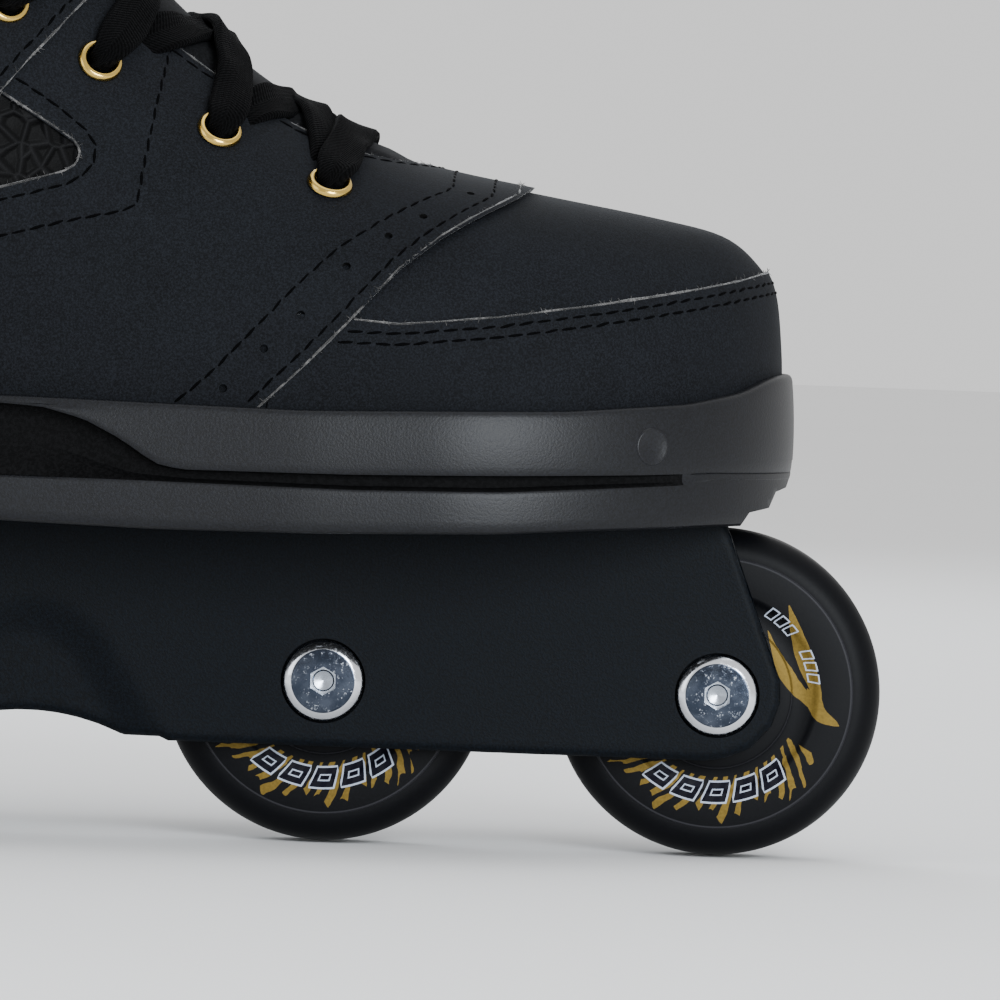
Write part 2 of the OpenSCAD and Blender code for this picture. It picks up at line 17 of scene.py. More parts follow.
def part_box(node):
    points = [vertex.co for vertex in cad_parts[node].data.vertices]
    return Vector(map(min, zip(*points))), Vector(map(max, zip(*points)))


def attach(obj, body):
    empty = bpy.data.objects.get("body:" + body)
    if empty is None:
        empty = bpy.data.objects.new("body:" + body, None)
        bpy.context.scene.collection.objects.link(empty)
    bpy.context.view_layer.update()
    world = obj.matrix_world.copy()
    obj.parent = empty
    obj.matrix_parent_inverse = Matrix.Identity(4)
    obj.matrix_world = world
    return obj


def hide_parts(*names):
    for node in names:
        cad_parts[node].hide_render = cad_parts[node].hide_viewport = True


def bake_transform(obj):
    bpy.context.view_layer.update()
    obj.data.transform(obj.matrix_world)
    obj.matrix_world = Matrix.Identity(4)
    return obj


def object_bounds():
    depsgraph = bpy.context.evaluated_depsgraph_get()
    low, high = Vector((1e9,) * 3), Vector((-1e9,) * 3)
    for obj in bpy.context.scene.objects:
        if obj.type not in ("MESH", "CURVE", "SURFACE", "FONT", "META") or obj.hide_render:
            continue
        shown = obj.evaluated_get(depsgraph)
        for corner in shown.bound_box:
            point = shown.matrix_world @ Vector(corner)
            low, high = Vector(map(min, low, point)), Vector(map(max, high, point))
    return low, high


bl_info = {
    "name": "Inline skate looks",
    "version": (1, 0, 0),
    "blender": (4, 5, 0),
    "location": "View3D > Sidebar > Skate",
    "description": "Builds the visible pieces of an inline skate around its packed frame",
    "category": "Object",
}

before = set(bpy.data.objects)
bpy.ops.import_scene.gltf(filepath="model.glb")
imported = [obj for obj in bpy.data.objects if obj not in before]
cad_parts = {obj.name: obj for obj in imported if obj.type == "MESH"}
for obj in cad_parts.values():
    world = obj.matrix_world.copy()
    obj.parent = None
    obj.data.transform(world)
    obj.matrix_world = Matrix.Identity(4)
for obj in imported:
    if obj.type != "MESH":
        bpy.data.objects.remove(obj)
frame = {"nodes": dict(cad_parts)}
CAD_BOX = [list(corner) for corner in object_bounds()]
MM = 0.001


# ---------------------------------------------------------------- numbers
def clamp01(t):
    return np.clip(t, 0.0, 1.0)


def smooth(t):
    t = clamp01(t)
    return t * t * (3 - 2 * t)


def mix(a, b, t):
    return a + (b - a) * t


def round_in(t, power):
    """Rises from 0 to 1 like the end of a superellipse."""
    return np.maximum(0.0, 1 - (1 - clamp01(t)) ** power) ** (1 / power)


def soft_lookup(pairs, reach):
    """A table read with its corners rounded over a reach in mm."""
    xs = np.array([p[0] for p in pairs], float)
    ys = np.array([p[1] for p in pairs], float)
    grid = np.arange(xs[0] - 3 * reach, xs[-1] + 3 * reach, 0.5)
    window = np.hanning(int(4 * reach) + 3)
    padded = np.pad(np.interp(grid, xs, ys), len(window) // 2, mode="edge")
    soft = np.convolve(padded, window / window.sum(), mode="valid")[: len(grid)]
    return lambda x: np.interp(x, grid, soft)


def spline(points, steps):
    """A smooth curve through the points, with that many steps between each two."""
    p = np.array(points, float)
    p = np.vstack([2 * p[0] - p[1], p, 2 * p[-1] - p[-2]])
    out = []
    for a, b, c, d in zip(p[:-3], p[1:-2], p[2:-1], p[3:]):
        for t in np.arange(steps) / steps:
            out.append(0.5 * (2 * b + (c - a) * t + (2 * a - 5 * b + 4 * c - d) * t**2
                              + (3 * b - a - 3 * c + d) * t**3))
    return np.array(out + [p[-2]])


def length_along(line):
    """Distance from the start of a line to each of its points."""
    return np.concatenate([[0], np.cumsum(np.linalg.norm(np.diff(line, axis=0), axis=1))])


def resample(rows, spacing):
    """The same line with its points evenly spaced by the length of the first three columns."""
    rows = np.array(rows, float)
    run = length_along(rows[:, :3])
    count = max(2, int(round(run[-1] / spacing)) + 1)
    at = np.linspace(0, run[-1], count)
    return np.stack([np.interp(at, run, rows[:, k]) for k in range(rows.shape[1])], axis=1)


# ---------------------------------------------------------------- the boot's form
SECTIONS = [
    (135.4, 84, 135.4, 72.4), (135, 93, 135, 72.4), (133.6, 103.5, 133.6, 72.4), (130.5, 109, 130.5, 72.4),
    (124, 113.8, 124, 72.4), (112, 116.6, 112, 72.4), (94, 119.6, 94, 72.4), (75, 122.8, 72, 72.4),
    (64, 125.5, 54, 72.4), (52, 130, 32, 72.4), (41, 136.5, 8, 72.4), (31, 143.5, -18, 72.4),
    (22, 151, -46, 72.4), (14, 159, -75, 72.4), (8, 167, -103, 72.4), (4, 174, -126, 73), (1, 181, -137.5, 82),
    (-1, 188, -141.2, 96), (-3, 197, -141, 114), (-4.5, 206, -137, 133), (-5.5, 215, -132.5, 152),
    (-6.5, 224, -129, 172), (-7.2, 233, -128, 195), (-7.8, 243, -129.5, 220), (-8, 254, -132, 243),
    (-8.4, 266, -134, 263), (-9, 282, -136, 285)]
TOE_X = 135.4
ROWS = spline(SECTIONS, 6)
back_x = soft_lookup([(60, -130), (72.4, -134), (82, -137.5), (96, -141.2), (114, -141), (133, -137),
                      (152, -132.5), (172, -129), (195, -128), (220, -129.5), (260, -133.5), (290, -136.5)], 7)
foot_w = soft_lookup([(-145, 36), (-80, 36.5), (-30, 39.5), (20, 45.5), (60, 48.5), (140, 48.5)], 16)
SHAFT_HALF = 41.0


def middle_y(x):
    """The boot's middle line, which leans inwards at the toe."""
    return 7 * smooth((x - 72) / 64)


def half_width(x, z, dn):
    """Half width of the boot at x and z, a distance dn below its front outline."""
    rise = smooth((z - 105) / 80)
    widest = mix(foot_w(x), SHAFT_HALF, rise)
    depth = mix(34, 56, smooth((60 - x) / 60))
    front = round_in(dn / depth, mix(2.5, 2.0, smooth((100 - x) / 60)))
    back = round_in((x - back_x(z)) / mix(42, 54, rise), 2.2)
    toe = round_in((TOE_X - x) / 62, 2.25)
    return widest * front * back * toe


class BootForm:
    """The last that every leather piece is laid on, as a closed surface with smooth normals."""

    def __init__(self, cells=30):
        depth = (1 - np.cos(np.pi * np.arange(cells + 1) / cells)) / 2
        rings = []
        for near_x, near_z, far_x, far_z in ROWS:
            span = math.hypot(far_x - near_x, far_z - near_z)
            x = near_x + (far_x - near_x) * depth
            z = near_z + (far_z - near_z) * depth
            half = half_width(np.minimum(x, TOE_X), z, depth * span)
            half[0] = 0.0
            outer = np.stack([x, middle_y(x) - half, z], axis=1)
            inner = np.stack([x, middle_y(x) + half, z], axis=1)
            rings.append(np.vstack([outer, inner[:0:-1]]))
        count = len(rings[0])
        points = np.vstack(rings)
        faces = []
        for r in range(len(rings) - 1):
            for k in range(count):
                a, b = r * count + k, r * count + (k + 1) % count
                faces.append((a, b, b + count, a + count))
        bm = bmesh.new()
        verts = [bm.verts.new(p) for p in points]
        for f in faces:
            bm.faces.new([verts[i] for i in f])
        bmesh.ops.remove_doubles(bm, verts=bm.verts, dist=0.02)
        bmesh.ops.dissolve_degenerate(bm, dist=0.01, edges=bm.edges)
        bmesh.ops.holes_fill(bm, edges=[e for e in bm.edges if e.is_boundary], sides=0)
        bmesh.ops.recalc_face_normals(bm, faces=bm.faces)
        self.bm = bm
        bm.normal_update()
        self.tree = BVHTree.FromBMesh(bm)

    def layer(self, offset):
        """The surface moved out by offset, as a copy of the mesh."""
        copy = self.bm.copy()
        for v in copy.verts:
            v.co = v.co + v.normal * offset
        return copy

    def shell(self, low, high, name, material):
        """A closed leather sheet that lies between two offsets."""
        outer, inner = self.layer(high), self.layer(low)
        mesh = bpy.data.meshes.new(name)
        outer.to_mesh(mesh)
        start = bpy.data.meshes.new(name + "_inside")
        for f in inner.faces:
            f.normal_flip()
        inner.to_mesh(start)
        both = bmesh.new()
        both.from_mesh(mesh)
        both.from_mesh(start)
        both.to_mesh(mesh)
        bpy.data.meshes.remove(start)
        for one in (outer, inner, both):
            one.free()
        mesh.materials.append(material)
        return new_object(name, mesh)

    def at(self, x, z, side):
        """Point and normal of the surface beside (x, z), on the outer (-1) or the inner (1) side."""
        origin = Vector((x, side * 150.0, z))
        hit, normal, _index, _far = self.tree.ray_cast(origin, Vector((0, -side, 0)))
        if hit is None:
            hit, normal, _index, _far = self.tree.find_nearest(Vector((x, 0, z)))
        if normal.y * side < 0 and abs(normal.y) > 0.2:
            normal = -normal
        return hit, normal

    def near(self, point):
        """The nearest point of the surface and its normal."""
        hit, normal, _index, _far = self.tree.find_nearest(Vector(point))
        return hit, normal

    def cast(self, origin, direction):
        """First hit of a ray: its point and normal."""
        hit, normal, _index, _far = self.tree.ray_cast(Vector(origin), Vector(direction).normalized())
        return None if hit is None else (hit, normal)

    def line(self, outline, side, spacing, offset):
        """Points and normals of a side-view line laid on the surface, evenly spaced."""
        return self.even([self.at(x, z, side) for x, z in resample(outline, 0.25)], spacing, offset)

    def wrap(self, outline, direction, spacing, offset):
        """A side-view line laid on both sides and joined across the width by rays in that direction."""
        fine = resample(outline, 0.25)
        outer = [self.at(x, z, -1) for x, z in fine]
        inner = [self.at(x, z, 1) for x, z in fine]
        x, z = fine[-1]
        across = []
        for y in np.linspace(outer[-1][0].y, inner[-1][0].y, 44)[1:-1]:
            found = self.cast(Vector((x, y, z)) - Vector(direction) * 60.0, direction)
            if found:
                across.append(found)
        return self.even(outer + across + inner[::-1], spacing, offset)

    def even(self, hits, spacing, offset):
        """Points and normals of a line through hits, evenly spaced and lifted by offset."""
        rows = np.array([list(p) + list(n) for p, n in hits])
        even = resample(rows, spacing)
        normals = even[:, 3:] / np.linalg.norm(even[:, 3:], axis=1)[:, None]
        return even[:, :3] + normals * offset, normals


# ---------------------------------------------------------------- meshes
def new_object(name, mesh):
    piece = bpy.data.objects.new(name, mesh)
    bpy.context.scene.collection.objects.link(piece)
    return piece


def mesh_object(name, points, faces, *materials, smooth_angle=40.0):
    """An object from points in mm (kept in mm until to_metres)."""
    mesh = bpy.data.meshes.new(name)
    mesh.from_pydata([tuple(p) for p in points], [], [tuple(f) for f in faces])
    for material in materials:
        mesh.materials.append(material)
    return finish_mesh(new_object(name, mesh), smooth_angle)


def finish_mesh(piece, smooth_angle=40.0):
    """Outward faces, smooth shading, and hard edges where the surface turns by more than the angle."""
    bm = bmesh.new()
    bm.from_mesh(piece.data)
    bmesh.ops.recalc_face_normals(bm, faces=bm.faces)
    limit = math.radians(smooth_angle)
    for face in bm.faces:
        face.smooth = True
    for edge in bm.edges:
        edge.smooth = len(edge.link_faces) == 2 and edge.calc_face_angle(0.0) < limit
    bm.to_mesh(piece.data)
    bm.free()
    return piece


def to_metres(piece):
    piece.data.transform(Matrix.Scale(MM, 4))
    return piece


def join(name, pieces):
    """One object from several, with their materials kept."""
    bm = bmesh.new()
    slots = []
    for piece in pieces:
        start = len(bm.faces)
        bm.from_mesh(piece.data)
        bm.faces.ensure_lookup_table()
        index = []
        for material in piece.data.materials:
            if material not in slots:
                slots.append(material)
            index.append(slots.index(material))
        for face in bm.faces[start:]:
            face.material_index = index[min(face.material_index, len(index) - 1)]
    mesh = bpy.data.meshes.new(name)
    bm.to_mesh(mesh)
    bm.free()
    for material in slots:
        mesh.materials.append(material)
    for piece in pieces:
        bpy.data.objects.remove(piece)
    return new_object(name, mesh)


def slab(name, upper, lower, columns, material, smooth_angle=40.0):
    """Two equal grids of points, row by row, joined round their rim."""
    count = len(upper)
    rows = count // columns
    faces = []
    for r in range(rows - 1):
        for k in range(columns - 1):
            for a in (r * columns + k, r * columns + k + count):
                faces.append((a, a + 1, a + columns + 1, a + columns))
    rim = list(range(columns)) + [r * columns + columns - 1 for r in range(1, rows)]
    rim += [(rows - 1) * columns + k for k in range(columns - 2, -1, -1)]
    rim += [r * columns for r in range(rows - 2, 0, -1)]
    for a, b in zip(rim, rim[1:] + rim[:1]):
        faces.append((a, b, b + count, a + count))
    return mesh_object(name, upper + lower, faces, material, smooth_angle=smooth_angle)


def prism(rings, material):
    """Two equal rings of points joined by walls and closed by two lids."""
    n = len(rings[0])
    faces = [tuple(range(n)), tuple(range(2 * n - 1, n - 1, -1))]
    faces += [(k, k + n, (k + 1) % n + n, (k + 1) % n) for k in range(n)]
    return mesh_object("cutter", rings[0] + rings[1], faces, material)


def side_prism(outline, material, from_y=-90.0, to_y=90.0):
    """A cutter: a side-view outline carried across the width."""
    return prism([[(x, y, z) for x, z in outline] for y in (from_y, to_y)], material)


def top_prism(outline, material, from_z=60.0, to_z=320.0):
    """A cutter: an outline seen from above carried upwards."""
    return prism([[(x, y, z) for x, y in outline] for z in (from_z, to_z)], material)


def ring(radius, sides):
    """Points on a circle, as (x, y) pairs."""
    return [(radius * math.cos(2 * math.pi * k / sides), radius * math.sin(2 * math.pi * k / sides))
            for k in range(sides)]


def cut(piece, cutter, operation="INTERSECT"):
    """Applies a Boolean. The cut walls take the cutter's material, as the second slot."""
    for face in cutter.data.polygons:
        face.material_index = 0
    if cutter.data.materials and cutter.data.materials[0] not in list(piece.data.materials):
        piece.data.materials.append(cutter.data.materials[0])
    modifier = piece.modifiers.new("cut", "BOOLEAN")
    modifier.operation = operation
    modifier.object = cutter
    modifier.solver = "EXACT"
    modifier.material_mode = "TRANSFER"
    bake(piece)
    bpy.data.objects.remove(cutter)
    return piece


def bake(piece):
    """Applies every modifier of a piece."""
    graph = bpy.context.evaluated_depsgraph_get()
    mesh = bpy.data.meshes.new_from_object(piece.evaluated_get(graph), depsgraph=graph)
    piece.modifiers.clear()
    piece.data = mesh
    return piece


def frames(p, normals):
    """Side and normal at each point of a path."""
    tangent = np.gradient(p, axis=0)
    tangent /= np.maximum(np.linalg.norm(tangent, axis=1)[:, None], 1e-9)
    side = np.cross(tangent, np.array(normals, float))
    side /= np.maximum(np.linalg.norm(side, axis=1)[:, None], 1e-9)
    return side, np.cross(side, tangent)


def sweep(name, path, profile, material, normals, scale=None, uv=False):
    """Carries a closed profile (side, normal) along a path. scale gives a (width, height) factor at each point."""
    p = np.array(path, float)
    side, normal = frames(p, normals)
    n, m = len(p), len(profile)
    factor = np.ones((n, 2)) if scale is None else np.array(scale, float)
    points = []
    for k in range(n):
        for a, b in profile:
            points.append(p[k] + side[k] * a * factor[k, 0] + normal[k] * b * factor[k, 1])
    faces = []
    for k in range(n - 1):
        for q in range(m):
            r = (q + 1) % m
            faces.append((k * m + q, k * m + r, (k + 1) * m + r, (k + 1) * m + q))
    faces += [tuple(range(m)), tuple(range(n * m - 1, (n - 1) * m - 1, -1))]
    mesh = bpy.data.meshes.new(name)
    mesh.from_pydata([tuple(q) for q in points], [], faces)
    if uv:
        layer = mesh.uv_layers.new(name="UVMap")
        run = length_along(p)
        for poly in mesh.polygons:
            for li in poly.loop_indices:
                vi = mesh.loops[li].vertex_index
                layer.data[li].uv = (run[vi // m], profile[vi % m][0])
    mesh.materials.append(material)
    return finish_mesh(new_object(name, mesh), 50.0)


def flat_profile(width, thick, sides=4):
    """A flat strap's section with round edges, counter-clockwise."""
    right = [(width / 2 - thick / 2 + thick / 2 * math.cos(a), thick / 2 * math.sin(a))
             for a in np.linspace(-math.pi / 2, math.pi / 2, sides)]
    return right + [(-x, -y) for x, y in right]


def turned(section, steps, closed=False):
    """A section of (radius, height) turned about z, as points and faces."""
    n = len(section)
    points, faces = [], []
    for k, (c, s) in enumerate(ring(1.0, steps)):
        j = (k + 1) % steps
        points += [(r * c, r * s, h) for r, h in section]
        faces += [(k * n + q, j * n + q, j * n + (q + 1) % n, k * n + (q + 1) % n)
                  for q in range(n if closed else n - 1)]
    return points, faces


def lathe(name, profile, material, centre, steps=144, smooth_angle=35.0):
    """Turns a closed (radius, along) outline about an axis along Y through the centre."""
    cx, cy, cz = centre
    points, faces = turned(profile, steps, True)
    return mesh_object(name, [(cx + a, cy + h, cz + b) for a, b, h in points], faces, material,
                       smooth_angle=smooth_angle)


def instances(name, template, places, material, smooth_angle=50.0):
    """One mesh holding a copy of the template (points, faces) at each 4x4 place."""
    base, polys = np.array(template[0], float), template[1]
    points, faces = [], []
    for place in places:
        matrix = np.array(place)
        start = len(points)
        points.extend((base @ matrix[:3, :3].T + matrix[:3, 3]).tolist())
        faces.extend([tuple(i + start for i in f) for f in polys])
    return mesh_object(name, points, faces, material, smooth_angle=smooth_angle)


def place(point, along, normal, scale=1.0):
    """A 4x4 matrix with x along a line and z along a normal."""
    x = Vector(along).normalized()
    z = Vector(normal).normalized()
    y = z.cross(x).normalized()
    z = x.cross(y)
    m = Matrix((x, y, z)).transposed() * scale
    m = m.to_4x4()
    m.translation = Vector(point)
    return m


def stitch_template(length, thick):
    """A single stitch: a fat thread that dives into the leather at both ends."""
    points, faces = [], []
    stations = [(-0.5, -0.40, 0.6), (-0.36, 0.05, 0.85), (-0.12, 0.32, 1.0), (0.12, 0.32, 1.0), (0.36, 0.05, 0.85),
                (0.5, -0.40, 0.6)]
    sides = 6
    for along, lift, fat in stations:
        for k in range(sides):
            a = 2 * math.pi * k / sides
            points.append((along * length, thick / 2 * fat * math.cos(a),
                           lift * thick * 0.5 + thick / 2 * fat * math.sin(a)))
    for s in range(len(stations) - 1):
        for k in range(sides):
            j = (k + 1) % sides
            faces.append((s * sides + k, s * sides + j, (s + 1) * sides + j, (s + 1) * sides + k))
    faces.append(tuple(range(sides - 1, -1, -1)))
    faces.append(tuple(range((len(stations) - 1) * sides, len(stations) * sides)))
    return points, faces


def stitch_places(points, normals, seed=1):
    """Where each stitch of a row lies, with the small turns of real sewing."""
    rng = random.Random(seed)
    out = []
    for a, b, n in zip(points[:-1], points[1:], normals[:-1]):
        along = Vector(b - a)
        turn = Matrix.Rotation(rng.uniform(-0.02, 0.16), 3, Vector(n))
        out.append(place((a + b) / 2, turn @ along, n, rng.uniform(0.93, 1.04)))
    return out


# ---------------------------------------------------------------- shader expressions
def plug(tree, socket, value):
    """Links a Sock to a socket, or sets the socket's constant."""
    if isinstance(value, Sock):
        tree.links.new(value.socket, socket)
    elif isinstance(value, tuple) and len(value) == 3 and socket.type == "RGBA":
        socket.default_value = (*value, 1.0)
    else:
        socket.default_value = value


def add_node(tree, kind, settings=None, output=0, **inputs):
    """Any shader node: its type, its settings first, then its sockets, by name or as _ and a number."""
    node = tree.nodes.new(kind)
    for key, value in (settings or {}).items():
        setattr(node, key, value)
    for key, value in inputs.items():
        plug(tree, node.inputs[int(key[1:]) if key[0] == "_" else key.replace("_", " ")], value)
    return Sock(tree, node.outputs[output])


class Sock:
    """A value, colour or vector in a material, on which Python's operators add Math nodes."""

    def __init__(self, tree, socket):
        self.tree = tree
        self.socket = socket

    def _math(self, operation, a, b=None):
        inputs = {"_0": a} if b is None else {"_0": a, "_1": b}
        return add_node(self.tree, "ShaderNodeMath", {"operation": operation}, **inputs)

    def __add__(self, other):
        return self._math("ADD", self, other)

    __radd__ = __add__

    def __sub__(self, other):
        return self._math("SUBTRACT", self, other)

    def __rsub__(self, other):
        return self._math("SUBTRACT", other, self)

    def __mul__(self, other):
        return self._math("MULTIPLY", self, other)

    __rmul__ = __mul__

    def __truediv__(self, other):
        return self._math("DIVIDE", self, other)

    def __gt__(self, other):
        return self._math("GREATER_THAN", self, other)

    def __lt__(self, other):
        return self._math("LESS_THAN", self, other)

    def over(self, name, *others):
        """Any other Math operation, by name."""
        return self._math(name, self, *others)

    def ramp(self, low, high):
        """0 below low, 1 above high, smooth between."""
        return add_node(self.tree, "ShaderNodeMapRange", {"interpolation_type": "SMOOTHSTEP"}, Value=self,
                        From_Min=low, From_Max=high)


class Finish:
    """A material under construction around one Principled shader."""

    def __init__(self, name, **fixed):
        self.material = bpy.data.materials.new(name)
        self.material.use_nodes = True
        self.tree = self.material.node_tree
        self.shader = self.tree.nodes["Principled BSDF"]
        for key, value in fixed.items():
            plug(self.tree, self.shader.inputs[key.replace("_", " ")], value)
        if "Base_Color" in fixed:
            self.material.diffuse_color = (*fixed["Base_Color"], 1.0)

    def node(self, kind, settings=None, output=0, **inputs):
        return add_node(self.tree, kind, settings, output, **inputs)

    def place(self):
        """Object coordinates in metres."""
        return self.node("ShaderNodeTexCoord", output="Object")

    def along(self):
        """The piece's own unrolled coordinates, in mm."""
        return self.node("ShaderNodeUVMap")

    def parts(self, vector):
        """The three coordinates of a vector."""
        split = self.node("ShaderNodeSeparateXYZ", Vector=vector)
        return [Sock(self.tree, out) for out in split.socket.node.outputs]

    def noise(self, scale, vector=None, detail=3.0, rough=0.55):
        return self.node("ShaderNodeTexNoise", Vector=vector or self.place(), Scale=scale, Detail=detail,
                         Roughness=rough)

    def cells(self, scale, vector=None, feature="F1"):
        """Distances in a pattern of cells."""
        return self.node("ShaderNodeTexVoronoi", {"feature": feature}, Vector=vector or self.place(), Scale=scale)

    def blend(self, factor, low, high):
        """Colour between low and high by a factor."""
        return self.node("ShaderNodeMix", {"data_type": "RGBA"}, 2, _0=factor, _6=low, _7=high)

    def bump(self, height, strength, distance):
        return self.node("ShaderNodeBump", Height=height, Strength=strength, Distance=distance)

    def set(self, **links):
        for key, value in links.items():
            plug(self.tree, self.shader.inputs[key.replace("_", " ")], value)
        return self.material


def shade(tint, factor):
    """The same colour, darker or paler."""
    return tuple(c * factor for c in tint)


def nubuck(name, tint):
    """Buffed leather: a fine nap, faint darker brushing and soft scuffs."""
    f = Finish(name, Specular_IOR_Level=0.10, Sheen_Weight=0.010, Sheen_Roughness=0.42,
               Sheen_Tint=(0.72, 0.78, 0.9), Base_Color=tint)
    fine = f.noise(2600.0, detail=4.0, rough=0.7)
    brush = f.noise(70.0, detail=3.0, rough=0.6)
    scuff = f.noise(16.0, detail=2.0)
    dark = shade(tint, 0.15)
    pale = shade(tint, 2.2)
    colour = f.blend(fine.ramp(0.38, 0.66) * 0.65 + brush * 0.35, dark, pale)
    colour = f.blend(scuff.ramp(0.55, 0.8) * 0.25, colour, shade(tint, 2.0))
    pores = f.cells(1500.0).ramp(0.0, 0.6)
    height = fine * 0.5 + pores * 0.35 + brush * 0.6
    return f.set(Base_Color=colour, Roughness=fine * 0.12 + 0.74, Normal=f.bump(height, 0.35, 0.00016))


def cut_leather():
    """The raw grey fibres at a cut edge."""
    f = Finish("cut_leather", Base_Color=(0.30, 0.29, 0.28), Specular_IOR_Level=0.15, Sheen_Weight=0.3)
    fibre = f.noise(1500.0, detail=4.0, rough=0.75)
    patch = f.noise(210.0, detail=2.0)
    colour = f.blend(fibre.ramp(0.3, 0.75), (0.012, 0.012, 0.012), (0.15, 0.145, 0.14))
    colour = f.blend(patch.ramp(0.40, 0.60) * 0.8, colour, (0.008, 0.008, 0.008))
    return f.set(Base_Color=colour, Roughness=0.9, Normal=f.bump(fibre, 0.9, 0.0003))


def thread():
    f = Finish("thread", Base_Color=(0.0006, 0.0006, 0.0007), Specular_IOR_Level=0.03)
    twist = f.noise(2400.0, detail=2.0)
    return f.set(Base_Color=f.blend(twist, (0.0002, 0.0002, 0.0003), (0.0010, 0.0010, 0.0012)), Roughness=0.8,
                 Normal=f.bump(twist, 0.6, 0.0001))


def lace_cloth():
    """Flat woven lace: ribs across, two rows of plaited loops along."""
    f = Finish("lace_cloth", Base_Color=(0.0012, 0.0012, 0.0014), Specular_IOR_Level=0.03, Sheen_Weight=0.008,
               Sheen_Roughness=0.4, Sheen_Tint=(0.75, 0.75, 0.8))
    u, v, _w = f.parts(f.along())
    slant = u + (v.over("ABSOLUTE")) * 0.8
    rib = (slant * 8.5).over("SINE") * 0.5 + 0.5
    cord = (v * 6.2).over("COSINE") * 0.5 + 0.5
    weave = rib * 0.65 + cord * 0.35
    fuzz = f.noise(1800.0, detail=3.0)
    colour = f.blend(weave * 0.7 + fuzz * 0.3, (0.0002, 0.0002, 0.0002), (0.0032, 0.0032, 0.0035))
    return f.set(Base_Color=colour, Roughness=fuzz * 0.2 + 0.74,
                 Normal=f.bump(weave * 0.7 + fuzz * 0.8, 1.0, 0.0005))


def ribbon_cloth(name="webbing", tint=(0.0030, 0.0030, 0.0033)):
    f = Finish(name, Base_Color=tint, Specular_IOR_Level=0.12, Sheen_Weight=0.02)
    u, v, _w = f.parts(f.along())
    weave = ((u * 5.0).over("SINE") * (v * 5.0).over("SINE")) * 0.5 + 0.5
    fuzz = f.noise(1500.0)
    colour = f.blend(weave * 0.6 + fuzz * 0.4, shade(tint, 0.4), shade(tint, 2.2))
    return f.set(Base_Color=colour, Roughness=0.78, Normal=f.bump(weave + fuzz * 0.3, 0.8, 0.0003))


def mesh_cloth(name="spacer_mesh", tint=(0.0035, 0.0036, 0.0039), scale=620.0):
    """Warp-knitted mesh lining with small holes."""
    f = Finish(name, Base_Color=tint, Specular_IOR_Level=0.12, Sheen_Weight=0.02)
    where = f.place()
    hole = f.cells(scale, where).ramp(0.10, 0.42)
    fuzz = f.noise(1600.0, where)
    patch = f.noise(40.0, where)
    colour = f.blend(hole, shade(tint, 0.25), shade(tint, 1.9))
    colour = f.blend(patch * 0.4, colour, shade(tint, 1.2))
    return f.set(Base_Color=colour, Roughness=fuzz * 0.15 + 0.78, Normal=f.bump(hole + fuzz * 0.4, 0.8, 0.0005))


def quilted_cloth():
    """Dark textile pressed into small faceted ridges."""
    f = Finish("window_textile", Base_Color=(0.002, 0.002, 0.0022), Specular_IOR_Level=0.08)
    facet = f.cells(260.0)
    ridge = f.cells(260.0, feature="DISTANCE_TO_EDGE")
    fine = f.noise(2200.0)
    height = ridge.ramp(0.0, 0.25) * 0.8 + facet * 0.5 + fine * 0.1
    colour = f.blend(ridge.ramp(0.0, 0.16), (0.0030, 0.0030, 0.0034), (0.0008, 0.0008, 0.0009))
    return f.set(Base_Color=colour, Roughness=fine * 0.15 + 0.5, Normal=f.bump(height, 0.9, 0.0007))


def moulded(name, tint, rough, grain_scale, grain, rub=0.15, specular=0.5):
    """Moulded plastic: a spark-eroded grain, faint flow marks, rubbed high spots."""
    f = Finish(name, Base_Color=tint, Specular_IOR_Level=specular)
    grit = f.noise(grain_scale, detail=2.0, rough=0.6)
    flow = f.noise(22.0, detail=3.0)
    scratch = f.noise(130.0, detail=4.0, rough=0.7)
    dark, pale = shade(tint, 0.35), shade(tint, 1.75)
    colour = f.blend(grit.ramp(0.38, 0.64) * 0.65 + flow * 0.35, dark, pale)
    colour = f.blend(scratch.ramp(0.62, 0.78) * rub, colour, tuple(c * 1.9 + 0.002 for c in tint))
    roughness = flow * 0.12 + grit * 0.10 + (rough - 0.11)
    return f.set(Base_Color=colour, Roughness=roughness, Normal=f.bump(grit, grain, 0.00012))


def urethane(name="urethane"):
    """Cast tyre: satin, slightly chalky, with rolling dust on the tread."""
    f = Finish(name, Base_Color=(0.0035, 0.0035, 0.0037), Specular_IOR_Level=0.12)
    cloud = f.noise(60.0, detail=3.0)
    speck = f.noise(1900.0, detail=2.0)
    colour = f.blend(cloud * 0.6 + speck * 0.4, (0.002, 0.002, 0.0022), (0.0058, 0.0056, 0.0055))
    return f.set(Base_Color=colour, Roughness=cloud * 0.14 + 0.40, Normal=f.bump(speck, 0.18, 0.0001))


